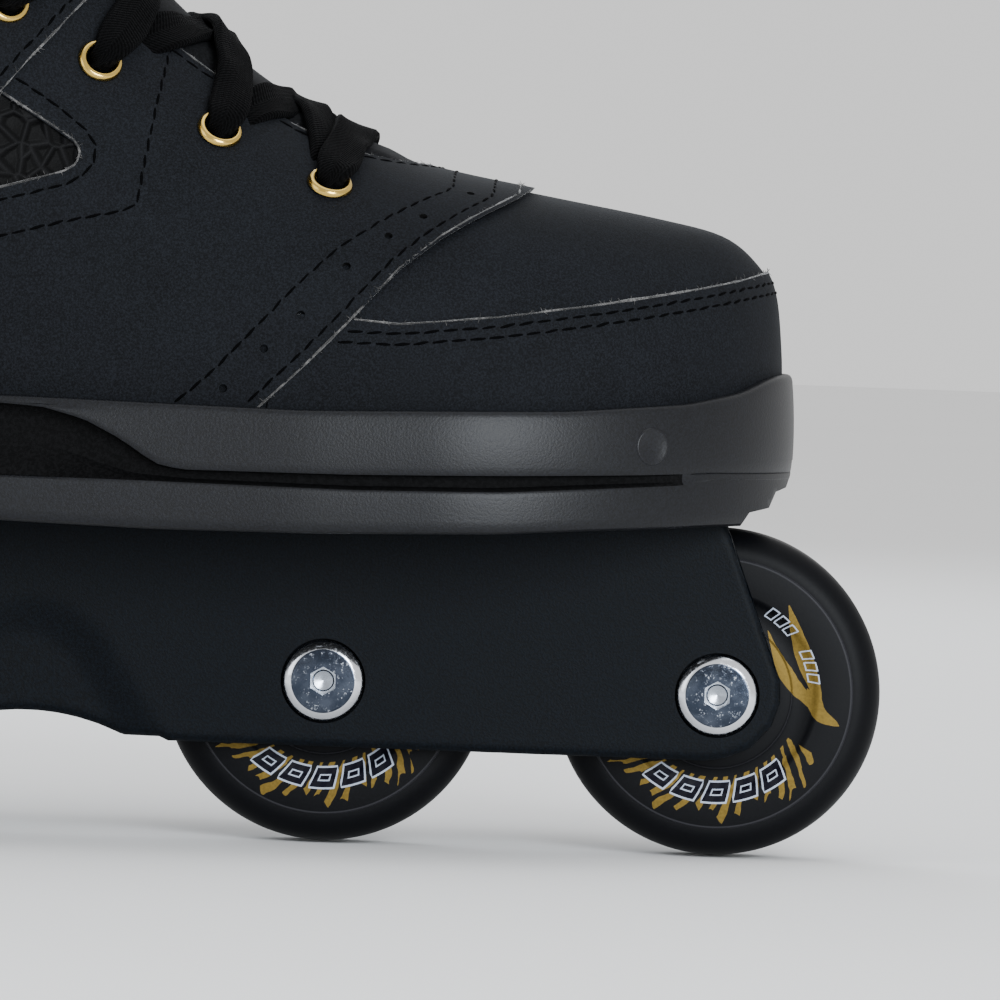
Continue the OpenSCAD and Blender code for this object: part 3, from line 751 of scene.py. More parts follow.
def wheel_face(name, centre):
    """The tyre's flat face with its printed ring: gold streaks behind outlined slanted blocks, and painted highlight
    lines at the face's two steps.
    """
    f = Finish(name, Base_Color=(0.0014, 0.0014, 0.0022), Specular_IOR_Level=0.09)
    x, _y, z = f.parts(f.place())
    dx = (x - centre[0]) * 1000.0
    dz = (z - centre[2]) * 1000.0
    radius = (dx * dx + dz * dz).over("SQRT")
    angle = dz.over("ARCTAN2", dx) * (180 / math.pi)
    speck = f.noise(1900.0, detail=2.0)
    wobble = f.noise(210.0, detail=2.0) - 0.5

    def arc(middle, reach):
        """Distance in degrees from the middle angle, positive anticlockwise, and a mask of the arc."""
        turn = ((angle - middle) + 540.0).over("MODULO", 360.0) - 180.0
        return turn, turn.over("ABSOLUTE") < reach

    # gold drips of uneven length below the blocks, a few at each end
    turn, inside = arc(-88.0, 58.0)
    slant = turn + (radius - 18.0) * 1.6 + wobble * 6.0
    tooth = (slant * (2 * math.pi / 7.3)).over("SINE") + (turn * 0.37).over("SINE") * 0.45
    length = (turn * 0.19 + 0.6).over("SINE") * 1.2 + (turn * 0.61).over("SINE") * 0.9 + 22.1
    streak = (tooth > 0.05) * (radius > 17.0) * (radius < length) * inside
    crown = (tooth > 0.35) * (radius > 15.4) * (radius < 17.2) * inside

    def stroke(start, end, bow, half, taper):
        """A brush stroke between two points of the face, bowed sideways, jagged along its edges."""
        reach = math.hypot(end[0] - start[0], end[1] - start[1])
        ux, uz = (end[0] - start[0]) / reach, (end[1] - start[1]) / reach
        t = ((dx - start[0]) * ux + (dz - start[1]) * uz) / reach
        away = (dx - start[0]) * -uz + (dz - start[1]) * ux
        swell = (t * math.pi).over("SINE").over("MAXIMUM", 0.0)
        fat = swell.over("POWER", taper) * half + wobble * 1.1
        return ((away - swell * bow).over("ABSOLUTE") < fat) * (t > 0.0) * (t < 1.0)

    flame = stroke((8.9, 11.9), (22.4, -4.7), -2.3, 1.25, 0.8)
    flame = flame + stroke((12.6, 16.6), (19.6, -2.5), -0.2, 1.5, 0.9)
    flame = flame + stroke((16.5, 1.5), (22.6, -5.2), -1.3, 1.3, 0.8)
    gold = (streak + crown + flame).over("MINIMUM", 1.0)

    def blocks(middle_angle, step, count, ring, tall, wide, lean, line):
        """Outlined slanted blocks spaced along a ring: (outline mask, fill mask)."""
        turn, inside = arc(middle_angle, step * count / 2)
        cell = (turn + step * count / 2) / step
        local = ((cell - cell.over("FLOOR")) - 0.5) * (step * math.pi / 180 * ring)
        up = radius - ring
        across = (local + up * lean).over("ABSOLUTE") - wide / 2
        rise = up.over("ABSOLUTE") - tall / 2
        box = across.over("MAXIMUM", rise)
        return (box.over("ABSOLUTE") < line) * inside, (box < 0.0) * inside

    big_line, big_fill = blocks(-88.0, 17.0, 5, 18.2, 3.9, 4.3, 0.35, 0.17)
    hole_line, _hole = blocks(-88.0, 17.0, 5, 18.2, 1.0, 1.9, 0.35, 0.13)
    upper_line, _fill = blocks(50.0, 7.2, 3, 17.7, 2.0, 1.5, 0.3, 0.13)
    lower_line, _fill = blocks(18.0, 7.2, 3, 17.9, 2.0, 1.5, 0.3, 0.13)
    white = (big_line + hole_line + upper_line + lower_line).over("MINIMUM", 1.0)
    # painted highlight: pale thin lines at the tyre's outer step and at the hub step, where their edges catch the
    # light
    rim = ((radius - 24.72).over("ABSOLUTE") < 0.26) + ((radius - 13.75).over("ABSOLUTE") < 0.12)
    colour = f.blend(speck, (0.0006, 0.0007, 0.0011), (0.0026, 0.0029, 0.0040))
    colour = f.blend(rim, colour, (0.020, 0.020, 0.023))
    colour = f.blend(gold, colour, f.blend(speck, (0.085, 0.055, 0.009), (0.19, 0.125, 0.026)))
    colour = f.blend(big_fill, colour, (0.0015, 0.0015, 0.005))
    colour = f.blend(white, colour, (0.36, 0.40, 0.48))
    return f.set(Base_Color=colour, Roughness=speck * 0.1 + 0.44, Metallic=gold * (1 - white) * 0.35,
                 Normal=f.bump(speck, 0.12, 0.0001))


def plated(name, tint, rough, brushed, scratches=0.35):
    """Plated or turned metal with fine scratches and a few duller patches."""
    f = Finish(name, Base_Color=tint, Metallic=1.0)
    where = f.place()
    scratch = f.noise(900.0, where, detail=5.0, rough=0.75)
    patch = f.noise(170.0, where, detail=2.0)
    colour = f.blend(patch.ramp(0.35, 0.75) * 0.35, tint, shade(tint, 0.72))
    roughness = scratch.ramp(0.45, 0.8) * scratches + patch * brushed + rough
    return f.set(Base_Color=colour, Roughness=roughness, Normal=f.bump(scratch, 0.12, 0.00005))


def bolt_face():
    """Plated steel with fine circular and stray scratches; its flat face is painted dark blue-grey as a painted
    reflection of the dark room, its bevel left bright.
    """
    f = Finish("bolt_plating", Base_Color=(0.6, 0.62, 0.66), Metallic=1.0)
    _x, y, _z = f.parts(f.place())
    flat = y.over("ABSOLUTE") > 0.02036
    scratch = f.noise(1300.0, detail=5.0, rough=0.8)
    patch = f.noise(330.0, detail=3.0)
    # painted reflection: the flat face takes a dark blue-grey colour for the dark surroundings it mirrors, crossed by
    # pale real scratches
    face_painted_reflection = f.blend(patch.ramp(0.35, 0.7), (0.030, 0.038, 0.055), (0.062, 0.074, 0.098))
    face_painted_reflection = f.blend(scratch.ramp(0.58, 0.68), face_painted_reflection, (0.46, 0.48, 0.52))
    colour = f.blend(flat, (0.74, 0.76, 0.80), face_painted_reflection)
    return f.set(Base_Color=colour, Roughness=scratch.ramp(0.4, 0.8) * 0.3 + 0.1,
                 Normal=f.bump(scratch, 0.15, 0.00005))


def foam(name="foam", tint=(0.05, 0.055, 0.065)):
    f = Finish(name, Base_Color=tint, Specular_IOR_Level=0.2)
    pore = f.cells(900.0).ramp(0.05, 0.5)
    cloud = f.noise(50.0)
    colour = f.blend(pore * 0.6 + cloud * 0.4, shade(tint, 0.5), shade(tint, 1.4))
    return f.set(Base_Color=colour, Roughness=0.85, Normal=f.bump(pore, 0.6, 0.0002))


def studio_paper():
    f = Finish("studio_paper", Base_Color=(0.86, 0.86, 0.86), Specular_IOR_Level=0.1)
    return f.set(Base_Color=f.blend(f.noise(3.0), (0.85, 0.85, 0.85), (0.88, 0.88, 0.88)), Roughness=0.95)


@functools.cache
def finish(name):
    """The finish of that name, made once, in the user's colours."""
    look = bpy.context.scene.skate_look
    makers = {
        "nubuck": lambda: nubuck("nubuck", tuple(look.leather)),
        "nubuck_tongue": lambda: nubuck("nubuck_tongue", tuple(look.tongue)),
        "cut_leather": cut_leather,
        "thread": thread,
        "lace": lace_cloth,
        "webbing": ribbon_cloth,
        "mesh": mesh_cloth,
        "quilt": quilted_cloth,
        "lining": lambda: mesh_cloth("lining", (0.0045, 0.0046, 0.005), 480.0),
        "frame": lambda: moulded("frame_plastic", tuple(look.frame), 0.56, 2300.0, 0.45, 0.06, 0.085),
        "sole": lambda: moulded("sole_plastic", tuple(look.sole), 0.43, 2300.0, 0.4, 0.10, 0.25),
        "gate": lambda: moulded("gate_mark", (0.0030, 0.0034, 0.0050), 0.40, 2300.0, 0.3, 0.0, 0.28),
        # painted shade: a darker, duller plastic for the sole's undercut groove and arch recess, where shade falls
        "hollow_painted_shade": lambda: moulded("sole_groove_painted_shade", (0.0022, 0.0022, 0.0024), 0.75, 1500.0, 0.6, 0.0, 0.06),
        "cuff": lambda: moulded("cuff_plastic", tuple(look.cuff), 0.46, 2100.0, 0.3, 0.10, 0.16),
        "nylon": lambda: moulded("nylon", (0.0030, 0.0030, 0.0034), 0.40, 1500.0, 0.2, 0.05, 0.25),
        "cage": lambda: moulded("cage_nylon", (0.02, 0.03, 0.16), 0.4, 1500.0, 0.2, 0.05),
        "urethane": urethane,
        "chrome": lambda: plated("chrome", (0.80, 0.82, 0.85), 0.09, 0.04, 0.22),
        "bolt": bolt_face,
        "socket": lambda: plated("socket_steel", (0.42, 0.46, 0.52), 0.16, 0.1, 0.3),
        "steel": lambda: plated("bearing_steel", (0.55, 0.56, 0.58), 0.22, 0.1),
        "zinc": lambda: plated("zinc", (0.20, 0.205, 0.22), 0.34, 0.15),
        "gold": lambda: plated("gold_plate", tuple(look.eyelet), 0.13, 0.05, 0.15),
        "foam": foam,
        "pad": lambda: foam("heel_pad", (0.05, 0.10, 0.20)),
        "dark": lambda: moulded("deep_shadow", (0.004, 0.004, 0.004), 0.9, 800.0, 0.1, 0.0, 0.1),
        "paper": studio_paper,
    }
    return makers[name]()


# ---------------------------------------------------------------- where things lie on the boot
RAW_GUARD = [(58.3, 96.3), (66.4, 95.7), (84.3, 97.6), (102.2, 100.4), (111.1, 102.0), (120, 103.8),
             (127.2, 105.5), (130.6, 106.6)]
RAW_WING = [(41.4, 79.8), (48.7, 86.9), (57.3, 95.9), (66, 105.5), (73, 111.2), (78.3, 114.6), (83.6, 117.6),
            (86.4, 119.2)]
WING_SEAM = [(26.4, 80.2), (32.5, 85.4), (39.4, 92.9), (48.1, 102.2), (55.1, 108.8), (62.1, 113.5),
             (69.2, 117.4), (74.4, 119.6)]
WING_HOLES = [(35.3, 83.2), (42.4, 90.6), (48.8, 96.8), (56.5, 105.4), (63.6, 110.9), (69.6, 114.5),
              (77.7, 118.9)]
QUARTER = [(10, 158), (6, 151.9), (1.7, 146.3), (-2.6, 141.1), (-6.9, 135.6), (-15, 126), (-23, 114.5),
           (-29, 102), (-32, 80)]
OVERLAY_SEAM = [(22, 146.1), (20.3, 132.9), (18.1, 114.5), (14, 113.7), (4.4, 111.7), (-5.7, 109), (-21, 106.5)]
WINDOW = [(-6.5, 134.3), (2.7, 128.7), (6.4, 126.3), (7.5, 124.6), (6.9, 122.2), (4.8, 120.9), (-5.9, 117.8),
          (-22, 114.2), (-30, 113), (-30, 122), (-17, 133.5), (-10, 136.5)]
EYELETS = [(8.74, 0.16), (10.34, 0.15), (12.2, 0.148), (13.8, 0.155)]
EYELETS_TOP = [(17, 0.12), (21.6, 0.12), (22.6, 0.12)]
COLLAR = [(-170, 250), (-134, 250), (-104, 243), (-70, 239), (-36, 240), (40, 251)]
CUFF_SIDE = [(-84, 128), (-76, 122.5), (-62, 122.5), (-52, 129), (-50, 146), (-46, 164), (-38, 180), (-31, 190),
             (-30, 216), (-38, 225), (-56, 228), (-90, 231), (-120, 234), (-150, 236), (-150, 176), (-118, 169),
             (-99, 155), (-88, 141)]
CUFF_PANEL = [(-74, 168), (-62, 172), (-56, 186), (-54, 204), (-60, 216), (-84, 220), (-110, 222), (-150, 225),
              (-170, 226), (-170, 186), (-150, 186), (-122, 181), (-104, 170), (-90, 164), (-74, 168)]
THROAT_HALF, THROAT_MIDDLE, THROAT_FRONT = 20.0, 1.5, 70.0
SHEET = 1.6          # base leather
GUARD = 0.75         # toe guard laid over it
OVERLAY = 1.05       # side panel laid over both
HEEL_PANEL = 1.62    # rear quarter laid over the side panel
STRAP_Z = 204.0


@functools.cache
def last_form():
    """The boot's form, made once."""
    return BootForm()


def row_of(i):
    """Section i of the boot, with any fraction between two sections."""
    k = min(int(i), len(SECTIONS) - 2)
    return mix(np.array(SECTIONS[k], float), np.array(SECTIONS[k + 1], float), i - k)


def row_point(i, s, side):
    """A point at fraction s down section i of the boot."""
    row = row_of(i)
    x, z = mix(row[:2], row[2:], s)
    half = float(half_width(min(x, TOE_X), z, s * math.hypot(row[2] - row[0], row[3] - row[1]) + 0.15))
    return x, middle_y(x) + side * half, z


def settle(piece, name, *bodies, slot, nodes=()):
    """Names a finished piece, takes it to metres and ties it to one body, or, for a piece of several bodies, bakes
    its placement and ties it to none.
    """
    piece.name = name
    to_metres(piece)
    if len(bodies) == 1:
        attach(piece, bodies[0])
    else:
        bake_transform(piece)
    if nodes:
        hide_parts(*nodes)
    return piece


# ---------------------------------------------------------------- leather
def throat_cutter():
    """Opening for the tongue: a U seen from above, from the instep back through the front of the shaft."""
    half = THROAT_HALF
    bend = [(THROAT_FRONT - half * (1 - math.cos(a)), THROAT_MIDDLE + half * math.sin(a))
            for a in np.linspace(-math.pi / 2, math.pi / 2, 25)]
    return top_prism([(-60, THROAT_MIDDLE - half)] + bend + [(-60, THROAT_MIDDLE + half)], finish("cut_leather"),
                     from_z=100)


def above_collar():
    """Everything above the collar's line."""
    return side_prism(COLLAR + [(40, 330), (-170, 330)], finish("cut_leather"))


def leather_sheet(name, low, high, keep=None, holes=()):
    """A panel of leather between two offsets, kept inside an outline and cut at throat, collar and holes."""
    piece = last_form().shell(low, high, name, finish("nubuck"))
    if keep:
        cut(piece, side_prism(keep, finish("cut_leather")))
    cut(piece, throat_cutter(), "DIFFERENCE")
    cut(piece, above_collar(), "DIFFERENCE")
    for hole in holes:
        cut(piece, hole, "DIFFERENCE")
    return finish_mesh(piece, 45)


PUNCH_REACH = 6.0


def hole_cutter(point, normal, radius, sides):
    """One round punch set square to the surface."""
    turn = Vector((0, 0, 1)).rotation_difference(Vector(normal)).to_matrix()
    return prism([[Vector(point) + turn @ Vector((a, b, h)) for a, b in ring(radius, sides)]
                  for h in (-PUNCH_REACH, PUNCH_REACH)], finish("dark"))


def punches(places, radius, sides=20):
    """All the punches of one size as a single cutter."""
    return join("punches", [hole_cutter(p, n, radius, sides) for p, n in places])


def eyelet_places(rows):
    """Point and normal of every eyelet of a list, on both sides."""
    form = last_form()
    return [form.near(row_point(i, s, side)) for i, s in rows for side in (-1, 1)]


def leather_upper():
    """Vamp, toe guard, side panel and rear quarter, sewn into one skin."""
    form = last_form()
    holes = [form.at(x, z, side) for x, z in WING_HOLES for side in (-1, 1)]
    laced = eyelet_places(EYELETS + EYELETS_TOP)
    front_guard = [(40, 60), (46, 97.2)] + RAW_GUARD + [(150, 112), (150, 60)]
    behind_wing = [(41.4, 60)] + RAW_WING + [(92, 124), (100, 140), (100, 340), (-190, 340), (-190, 60)]
    behind_quarter = [(-32, 60)] + QUARTER[::-1] + [(16, 168), (16, 340), (-190, 340), (-190, 60)]
    window = side_prism(WINDOW, finish("cut_leather"))
    panels = [
        leather_sheet("vamp", -SHEET, 0.0, holes=[punches(laced, 3.0)]),
        leather_sheet("toe_guard", -0.05, GUARD, front_guard),
        leather_sheet("side_panel", -0.05, OVERLAY, behind_wing, [window, punches(holes, 0.75), punches(laced, 3.0)]),
        leather_sheet("quarter", OVERLAY - 0.05, HEEL_PANEL, behind_quarter, [punches(laced, 3.0)])]
    upper = join("leather_upper", panels)
    return settle(finish_mesh(upper, 45), "leather_upper", "chassis", "cuff_body", slot="nubuck",
                  nodes=("upper", "shaft"))


def window_cloth():
    """Ridged textile behind the side windows."""
    form = last_form()
    sheet = form.shell(-0.05, 0.32, "window_cloth", finish("quilt"))
    grown = [(x + (2.5 if x > -10 else 0), z + (2.5 if z > 126 else -2.5)) for x, z in WINDOW]
    cut(sheet, side_prism(grown, finish("quilt")))
    return settle(finish_mesh(sheet, 60), "window_cloth", "chassis", "cuff_body", slot="lining")


EDGE_STEP = 0.9                                # mm between the points of a raw edge
OVER_TOE, DOWN = (-1, 0, -0.25), (0, 0, -1)    # the rays that carry a line across the toe and the vamp


def edge_lines():
    """The raw edges that show: (points, normals) for each."""
    form = last_form()
    lines = [form.wrap(RAW_GUARD, OVER_TOE, EDGE_STEP, GUARD), form.wrap(RAW_WING, DOWN, EDGE_STEP, OVERLAY)]
    for side in (-1, 1):
        lines.append(form.line(QUARTER[1:], side, EDGE_STEP, HEEL_PANEL))
        lines.append(form.line(WINDOW[-1:] + WINDOW[:8], side, EDGE_STEP, OVERLAY))
        lines.append(throat_line(side, 0.0, EDGE_STEP, OVERLAY))
    return lines


def throat_line(side, out, spacing, offset):
    """A line beside the throat on one side, from its front bend up to the collar."""
    form = last_form()
    half = THROAT_HALF + out
    hits = []
    for a in np.linspace(0.0, math.pi / 2, 26):
        x = THROAT_FRONT + out - half * (1 - math.cos(a))
        hits.append(form.cast((x, THROAT_MIDDLE + side * half * math.sin(a), 200), (0, 0, -1)))
    y = THROAT_MIDDLE + side * half
    for x in np.arange(THROAT_FRONT + out - half - 1, 24, -1.0):
        hits.append(form.cast((x, y, 250), (-0.05, 0, -1)))
    for z in np.arange(150, 241.5, 1.0):
        hits.append(form.cast((60, y, z), (-1, 0, 0)))
    return form.even([h for h in hits if h], spacing, offset)


def raw_edges():
    """A thin fuzzy bead of grey fibres along every cut edge, with stray hairs."""
    rng = np.random.default_rng(5)
    beads, hairs = [], []
    for points, normals in edge_lines():
        sway = np.convolve(rng.normal(0, 1, len(points) + 8), np.ones(5) / 5, "same")[:len(points)]
        fat = np.clip(0.9 + 0.5 * sway, 0.45, 1.5)
        wander = np.convolve(rng.normal(0, 1, len(points) + 8), np.ones(4) / 4, "same")[:len(points)] * 0.07
        beads.append(sweep("bead", points + normals * (wander - 0.16)[:, None], ring(0.25, 6),
                           finish("cut_leather"), normals, scale=np.stack([fat, fat], axis=1)))
        for k in range(1, len(points) - 1):
            for _ in range(int(rng.integers(0, 3))):
                n = normals[k]
                t = points[k + 1] - points[k - 1]
                t = t / max(np.linalg.norm(t), 1e-6)
                d = np.cross(n, t) * rng.normal(0, 0.9) + n * rng.uniform(0.1, 0.6) + t * rng.normal(0, 0.9)
                d = d / max(np.linalg.norm(d), 1e-6) * rng.uniform(0.4, 1.15)
                a = points[k] + t * rng.uniform(-0.4, 0.4)
                hairs.append((a, a + d * 0.6 + n * 0.05, a + d))
    points, faces = [], []
    for hair in hairs:
        start = len(points)
        for p, r in zip(hair, (0.055, 0.045, 0.015)):
            for k in range(3):
                a = 2 * math.pi * k / 3
                points.append((p[0] + r * math.cos(a), p[1] + r * math.sin(a) * 0.7, p[2] + r * math.sin(a)))
        for s in (0, 3):
            for k in range(3):
                j = (k + 1) % 3
                faces.append((start + s + k, start + s + j, start + s + 3 + j, start + s + 3 + k))
    beads.append(mesh_object("hairs", points, faces, finish("cut_leather")))
    return settle(join("raw_edges", beads), "raw_edges", "chassis", "cuff_body", slot="nubuck")


def shifted(outline, dx, dz):
    return [(x + dx, z + dz) for x, z in outline]


def seam_lines(pitch):
    """Every row of stitching as (points, normals)."""
    form = last_form()
    rows = []
    for drop, start in ((1.7, 56.9), (3.6, 55.2)):
        rows.append(form.wrap(shifted([(start, 95.9)] + RAW_GUARD[1:-1], 0, -drop), OVER_TOE, pitch, GUARD))
    rows.append(form.wrap(shifted(RAW_WING[:-1], -1.8, 1.0), DOWN, pitch, OVERLAY))
    rows.append(form.wrap(WING_SEAM, DOWN, pitch, OVERLAY))
    window = [(-8.0, 139.2), (-1, 134.9), (4.2, 131.5), (8.6, 128), (10.6, 124.6), (9.4, 120.8), (5.6, 118.6),
              (-5.4, 115.6), (-21, 112)]
    for side in (-1, 1):
        rows.append(form.line(OVERLAY_SEAM, side, pitch, OVERLAY))
        rows.append(form.line(window, side, pitch, OVERLAY))
        rows.append(form.line(shifted(QUARTER[1:], -1.6, 0.9), side, pitch, HEEL_PANEL))
        rows.append(throat_line(side, 1.9, pitch, OVERLAY))
    return rows


def seams(look):
    """Every stitch of the boot."""
    places = []
    for k, (points, normals) in enumerate(seam_lines(look.stitch_pitch / MM)):
        places += stitch_places(points - normals * 0.16, normals, seed=k + 11)
    piece = instances("seams", stitch_template(look.stitch_length / MM, 0.6), places, finish("thread"))
    return settle(piece, "seams", "chassis", "cuff_body", slot="nubuck")


# ---------------------------------------------------------------- eyelets and laces
EYELET = [(2.55, -2.0), (2.55, 0.6), (2.75, 1.25), (3.25, 1.62), (3.75, 1.50), (4.1, 1.05), (4.2, 0.55),
          (3.9, 0.5), (3.3, 0.72), (2.95, 0.5), (2.85, -2.0)]


def eyelets(rows, name, body, node):
    """Rolled brass rings with short barrels, set in their holes."""
    places = []
    for point, normal in eyelet_places(rows):
        places.append(place(point + normal * (OVERLAY - 0.3), Vector(normal).cross(Vector((0, 1, 0.3))), normal))
    piece = instances(name, turned(EYELET, 36, True), places, finish("gold"), 60)
    return settle(piece, name, body, slot="gold_brass", nodes=(node,))


def lace_path(a, b, side, kind, over):
    """A length of lace from an eyelet on one side to the next on the other: a bar, a crossing or a hidden run.

    A bar dives into both eyelets. A crossing comes out of its eyelet over the flap and goes under the other flap.
    """
    form = last_form()
    (i, s), (j, t) = a, b
    out = [(0.0, 1.0, -1.4, 0.46), (0.0, 0.99, 0.9, 0.5), (0.0, 0.93, 2.3, 0.66), (0.03, 0.78, 3.0, 0.9),
           (0.09, 0.5, 2.7, 1.0), (0.22, 0.2, 2.9 + over * 0.5, 1.0)]
    under = [(0.02, 0.94, -2.2, 0.7), (0.04, 0.76, -1.9, 0.85), (0.1, 0.5, 0.6, 1.0),
             (0.25, 0.2, 2.5 + over * 0.5, 1.0)]
    first = under if kind == "hidden" else out
    last = out if kind == "bar" else under
    stations = [(i + (j - i) * f, s * down, side, lift, wide) for f, down, lift, wide in first]
    stations.append((mix(i, j, 0.5), 0.0, side, 3.0 + over, 1.0))
    stations += [(j - (j - i) * f, t * down, -side, lift, wide) for f, down, lift, wide in last[::-1]]
    points, normals, widths = [], [], []
    for row, down, where, offset, wide in stations:
        p, n = form.near(row_point(row, down, where))
        points.append(p + n * offset)
        normals.append(n)
        widths.append(wide)
    rows = np.hstack([np.array(points), np.array(normals), np.array(widths)[:, None]])
    fine = resample(spline(rows, 8), 0.8)
    return fine[:, :3], fine[:, 3:6], fine[:, 6]


def lace_piece(look, runs, name, body, node):
    """Flat laces with the crumples and small twists of real ones."""
    laces = []
    section = dished_profile(look.lace_width / MM, look.lace_thick / MM)
    for k, run in enumerate(runs):
        points, normals, wide = lace_path(*run)
        rng = np.random.default_rng(40 + k)
        at = np.arange(len(points))
        roll = 0.20 * np.sin(at * 0.11 + rng.uniform(0, 6)) + 0.10 * np.sin(at * 0.31 + rng.uniform(0, 6))
        side = np.cross(np.gradient(points, axis=0), normals)
        side /= np.linalg.norm(side, axis=1)[:, None]
        normals = normals * np.cos(roll)[:, None] + side * np.sin(roll)[:, None]
        wide = wide * (1 + 0.07 * np.sin(at * 0.23 + rng.uniform(0, 6)))
        laces.append(sweep("lace", points, section, finish("lace"), normals,
                           scale=np.stack([wide, 1 + (1 - wide) * 1.5], axis=1), uv=True))
    return settle(join(name, laces), name, body, slot="lace_weave", nodes=(node,))


def dished_profile(width, thick):
    """Section of a flat woven tube: fuller at its two edges than along its middle."""
    top = [(x, thick * (0.36 + 0.14 * abs(2 * x / width) ** 1.5)) for x in np.linspace(-0.44, 0.44, 9) * width]
    tips = [(0.49 * width, thick * 0.3), (0.5 * width, 0.0), (0.49 * width, -thick * 0.3)]
    under = [(x, -z) for x, z in top[::-1]]
    return top + tips + under + [(-x, z) for x, z in tips[::-1]]


LOW_RUNS = [(EYELETS[0], EYELETS[0], -1, "bar", 0.0), (EYELETS[0], EYELETS[1], -1, "hidden", -0.6),
            (EYELETS[0], EYELETS[1], 1, "hidden", -1.3), (EYELETS[1], EYELETS[2], -1, "cross", 0.9),
            (EYELETS[1], EYELETS[2], 1, "cross", -0.3), (EYELETS[2], EYELETS[3], -1, "cross", -0.3),
            (EYELETS[2], EYELETS[3], 1, "cross", 0.9), (EYELETS[3], (14.7, 0.14), -1, "cross", 0.7),
            (EYELETS[3], (14.7, 0.14), 1, "cross", -0.3)]
HIGH_RUNS = [(EYELETS_TOP[0], EYELETS_TOP[1], -1, "cross", 0.4), (EYELETS_TOP[0], EYELETS_TOP[1], 1, "cross", -0.7),
             (EYELETS_TOP[1], EYELETS_TOP[2], -1, "cross", 0.4), (EYELETS_TOP[1], EYELETS_TOP[2], 1, "cross", -0.7),
             (EYELETS_TOP[2], EYELETS_TOP[2], -1, "bar", 0.2)]


# ---------------------------------------------------------------- tongue, lining, collar
def tongue():
    """Padded tongue under the laces, with sewn channels above the instep."""
    form = last_form()
    rows = np.linspace(7.75, 24.35, 110)
    across = np.linspace(-1, 1, 33)
    channels = [15.2, 16.2, 19.0, 20.2, 21.4, 22.6, 23.6]
    top, bottom = [], []
    for i in rows:
        near_x, near_z, far_x, far_z = row_of(i)
        inward = Vector((far_x - near_x, 0, far_z - near_z)).normalized()
        reach = mix(18.0, 25.0, float(smooth((i - 8.2) / 2.2))) * float(round_in((24.5 - i) / 1.1, 2.4))
        end = float(smooth((i - 7.75) / 0.5) * smooth((24.35 - i) / 0.35))
        groove = sum(math.exp(-((i - c) / 0.10) ** 2) for c in channels)
        for c in across:
            y = THROAT_MIDDLE + c * reach
            hit, normal = form.cast(Vector((near_x, y, near_z)) - inward * 40, inward)
            crown = float(smooth((THROAT_HALF + 1.5 - abs(c * reach)) / 7.0))
            free = float(smooth((i - 22.2) / 0.8))
            high = mix(mix(-2.05, 1.55, crown), mix(0.4, 2.2, 1 - c * c), free) - groove * 1.1 * max(crown, free)
            thick = mix(1.2, 5.4 + 1.6 * free, float(round_in(1 - abs(c), 2.4))) * max(float(round_in(end, 2)), 0.12)
            top.append(hit + normal * (high - (1 - end) * 0.8))
            bottom.append(hit + normal * (high - thick - (1 - end) * 0.3))
    piece = slab("tongue", top, bottom, len(across), finish("nubuck_tongue"), 70)
    settle(piece, "tongue_pad", "chassis", "cuff_body", slot="tongue_nubuck", nodes=("tongue", "tongue_top"))
    return piece


def lining():
    """Mesh-covered padding inside the boot, from the toe box up to the collar, open under the tongue."""
    sheet = last_form().layer(-1.85)
    bmesh.ops.subdivide_edges(sheet, edges=sheet.edges[:], cuts=1, use_grid_fill=True)

    def open_here(p):
        over = p.z > float(np.interp(p.x, [x for x, _z in COLLAR], [z for _x, z in COLLAR])) - 1.0
        reach = THROAT_HALF + 4.5
        under = p.z > 100 and abs(p.y - THROAT_MIDDLE) < reach and -60 < p.x < THROAT_FRONT + 4 - reach * (
            1 - math.sqrt(max(0.0, 1 - ((p.y - THROAT_MIDDLE) / reach) ** 2)))
        return over or under

    bmesh.ops.delete(sheet, geom=[f for f in sheet.faces if open_here(f.calc_center_median())], context="FACES")
    mesh = bpy.data.meshes.new("lining")
    sheet.to_mesh(mesh)
    sheet.free()
    mesh.materials.append(finish("lining"))
    piece = new_object("lining", mesh)
    pad = piece.modifiers.new("pad", "SOLIDIFY")
    pad.thickness, pad.offset = 4.0, -1.0
    bake(piece)
    settle(finish_mesh(piece, 60), "boot_lining", "chassis", "cuff_body", slot="lining",
           nodes=("foot_lining", "collar_pad"))
    return piece


def collar_roll():
    """The soft rolled rim of the collar, from one side of the throat round the heel to the other."""
    form = last_form()
    outline = [(-24, 241.6)] + COLLAR[-2:1:-1] + [(-122, 247.6)]
    hits = [form.at(x, z, -1) for x, z in resample(outline, 1.0)]
    back = []
    for y in np.linspace(hits[-1][0].y, -hits[-1][0].y, 30)[1:-1]:
        found = form.cast((-220, y, mix(247.6, 250.2, 1 - (y / hits[-1][0].y) ** 2)), (1, 0, 0))
        if found:
            back.append(found)
    other = [form.at(x, z, 1) for x, z in resample(outline, 1.0)][::-1]
    points, normals = form.even(hits + back + other, 1.6, -3.6)
    ends = np.minimum(np.arange(len(points)), np.arange(len(points))[::-1]) / 5.0
    round_end = np.clip(round_in(ends, 2.0), 0.3, 1)
    piece = sweep("collar_roll", points + np.array([0, 0, 0.6]), [(3.3 * math.sin(a), 2.5 * math.cos(a)) for a in
                  np.linspace(0, 2 * math.pi, 14, endpoint=False)], finish("mesh"), normals,
                  scale=np.stack([round_end, round_end], axis=1))
    settle(piece, "collar_roll", "cuff_body", slot="lining")
    return piece


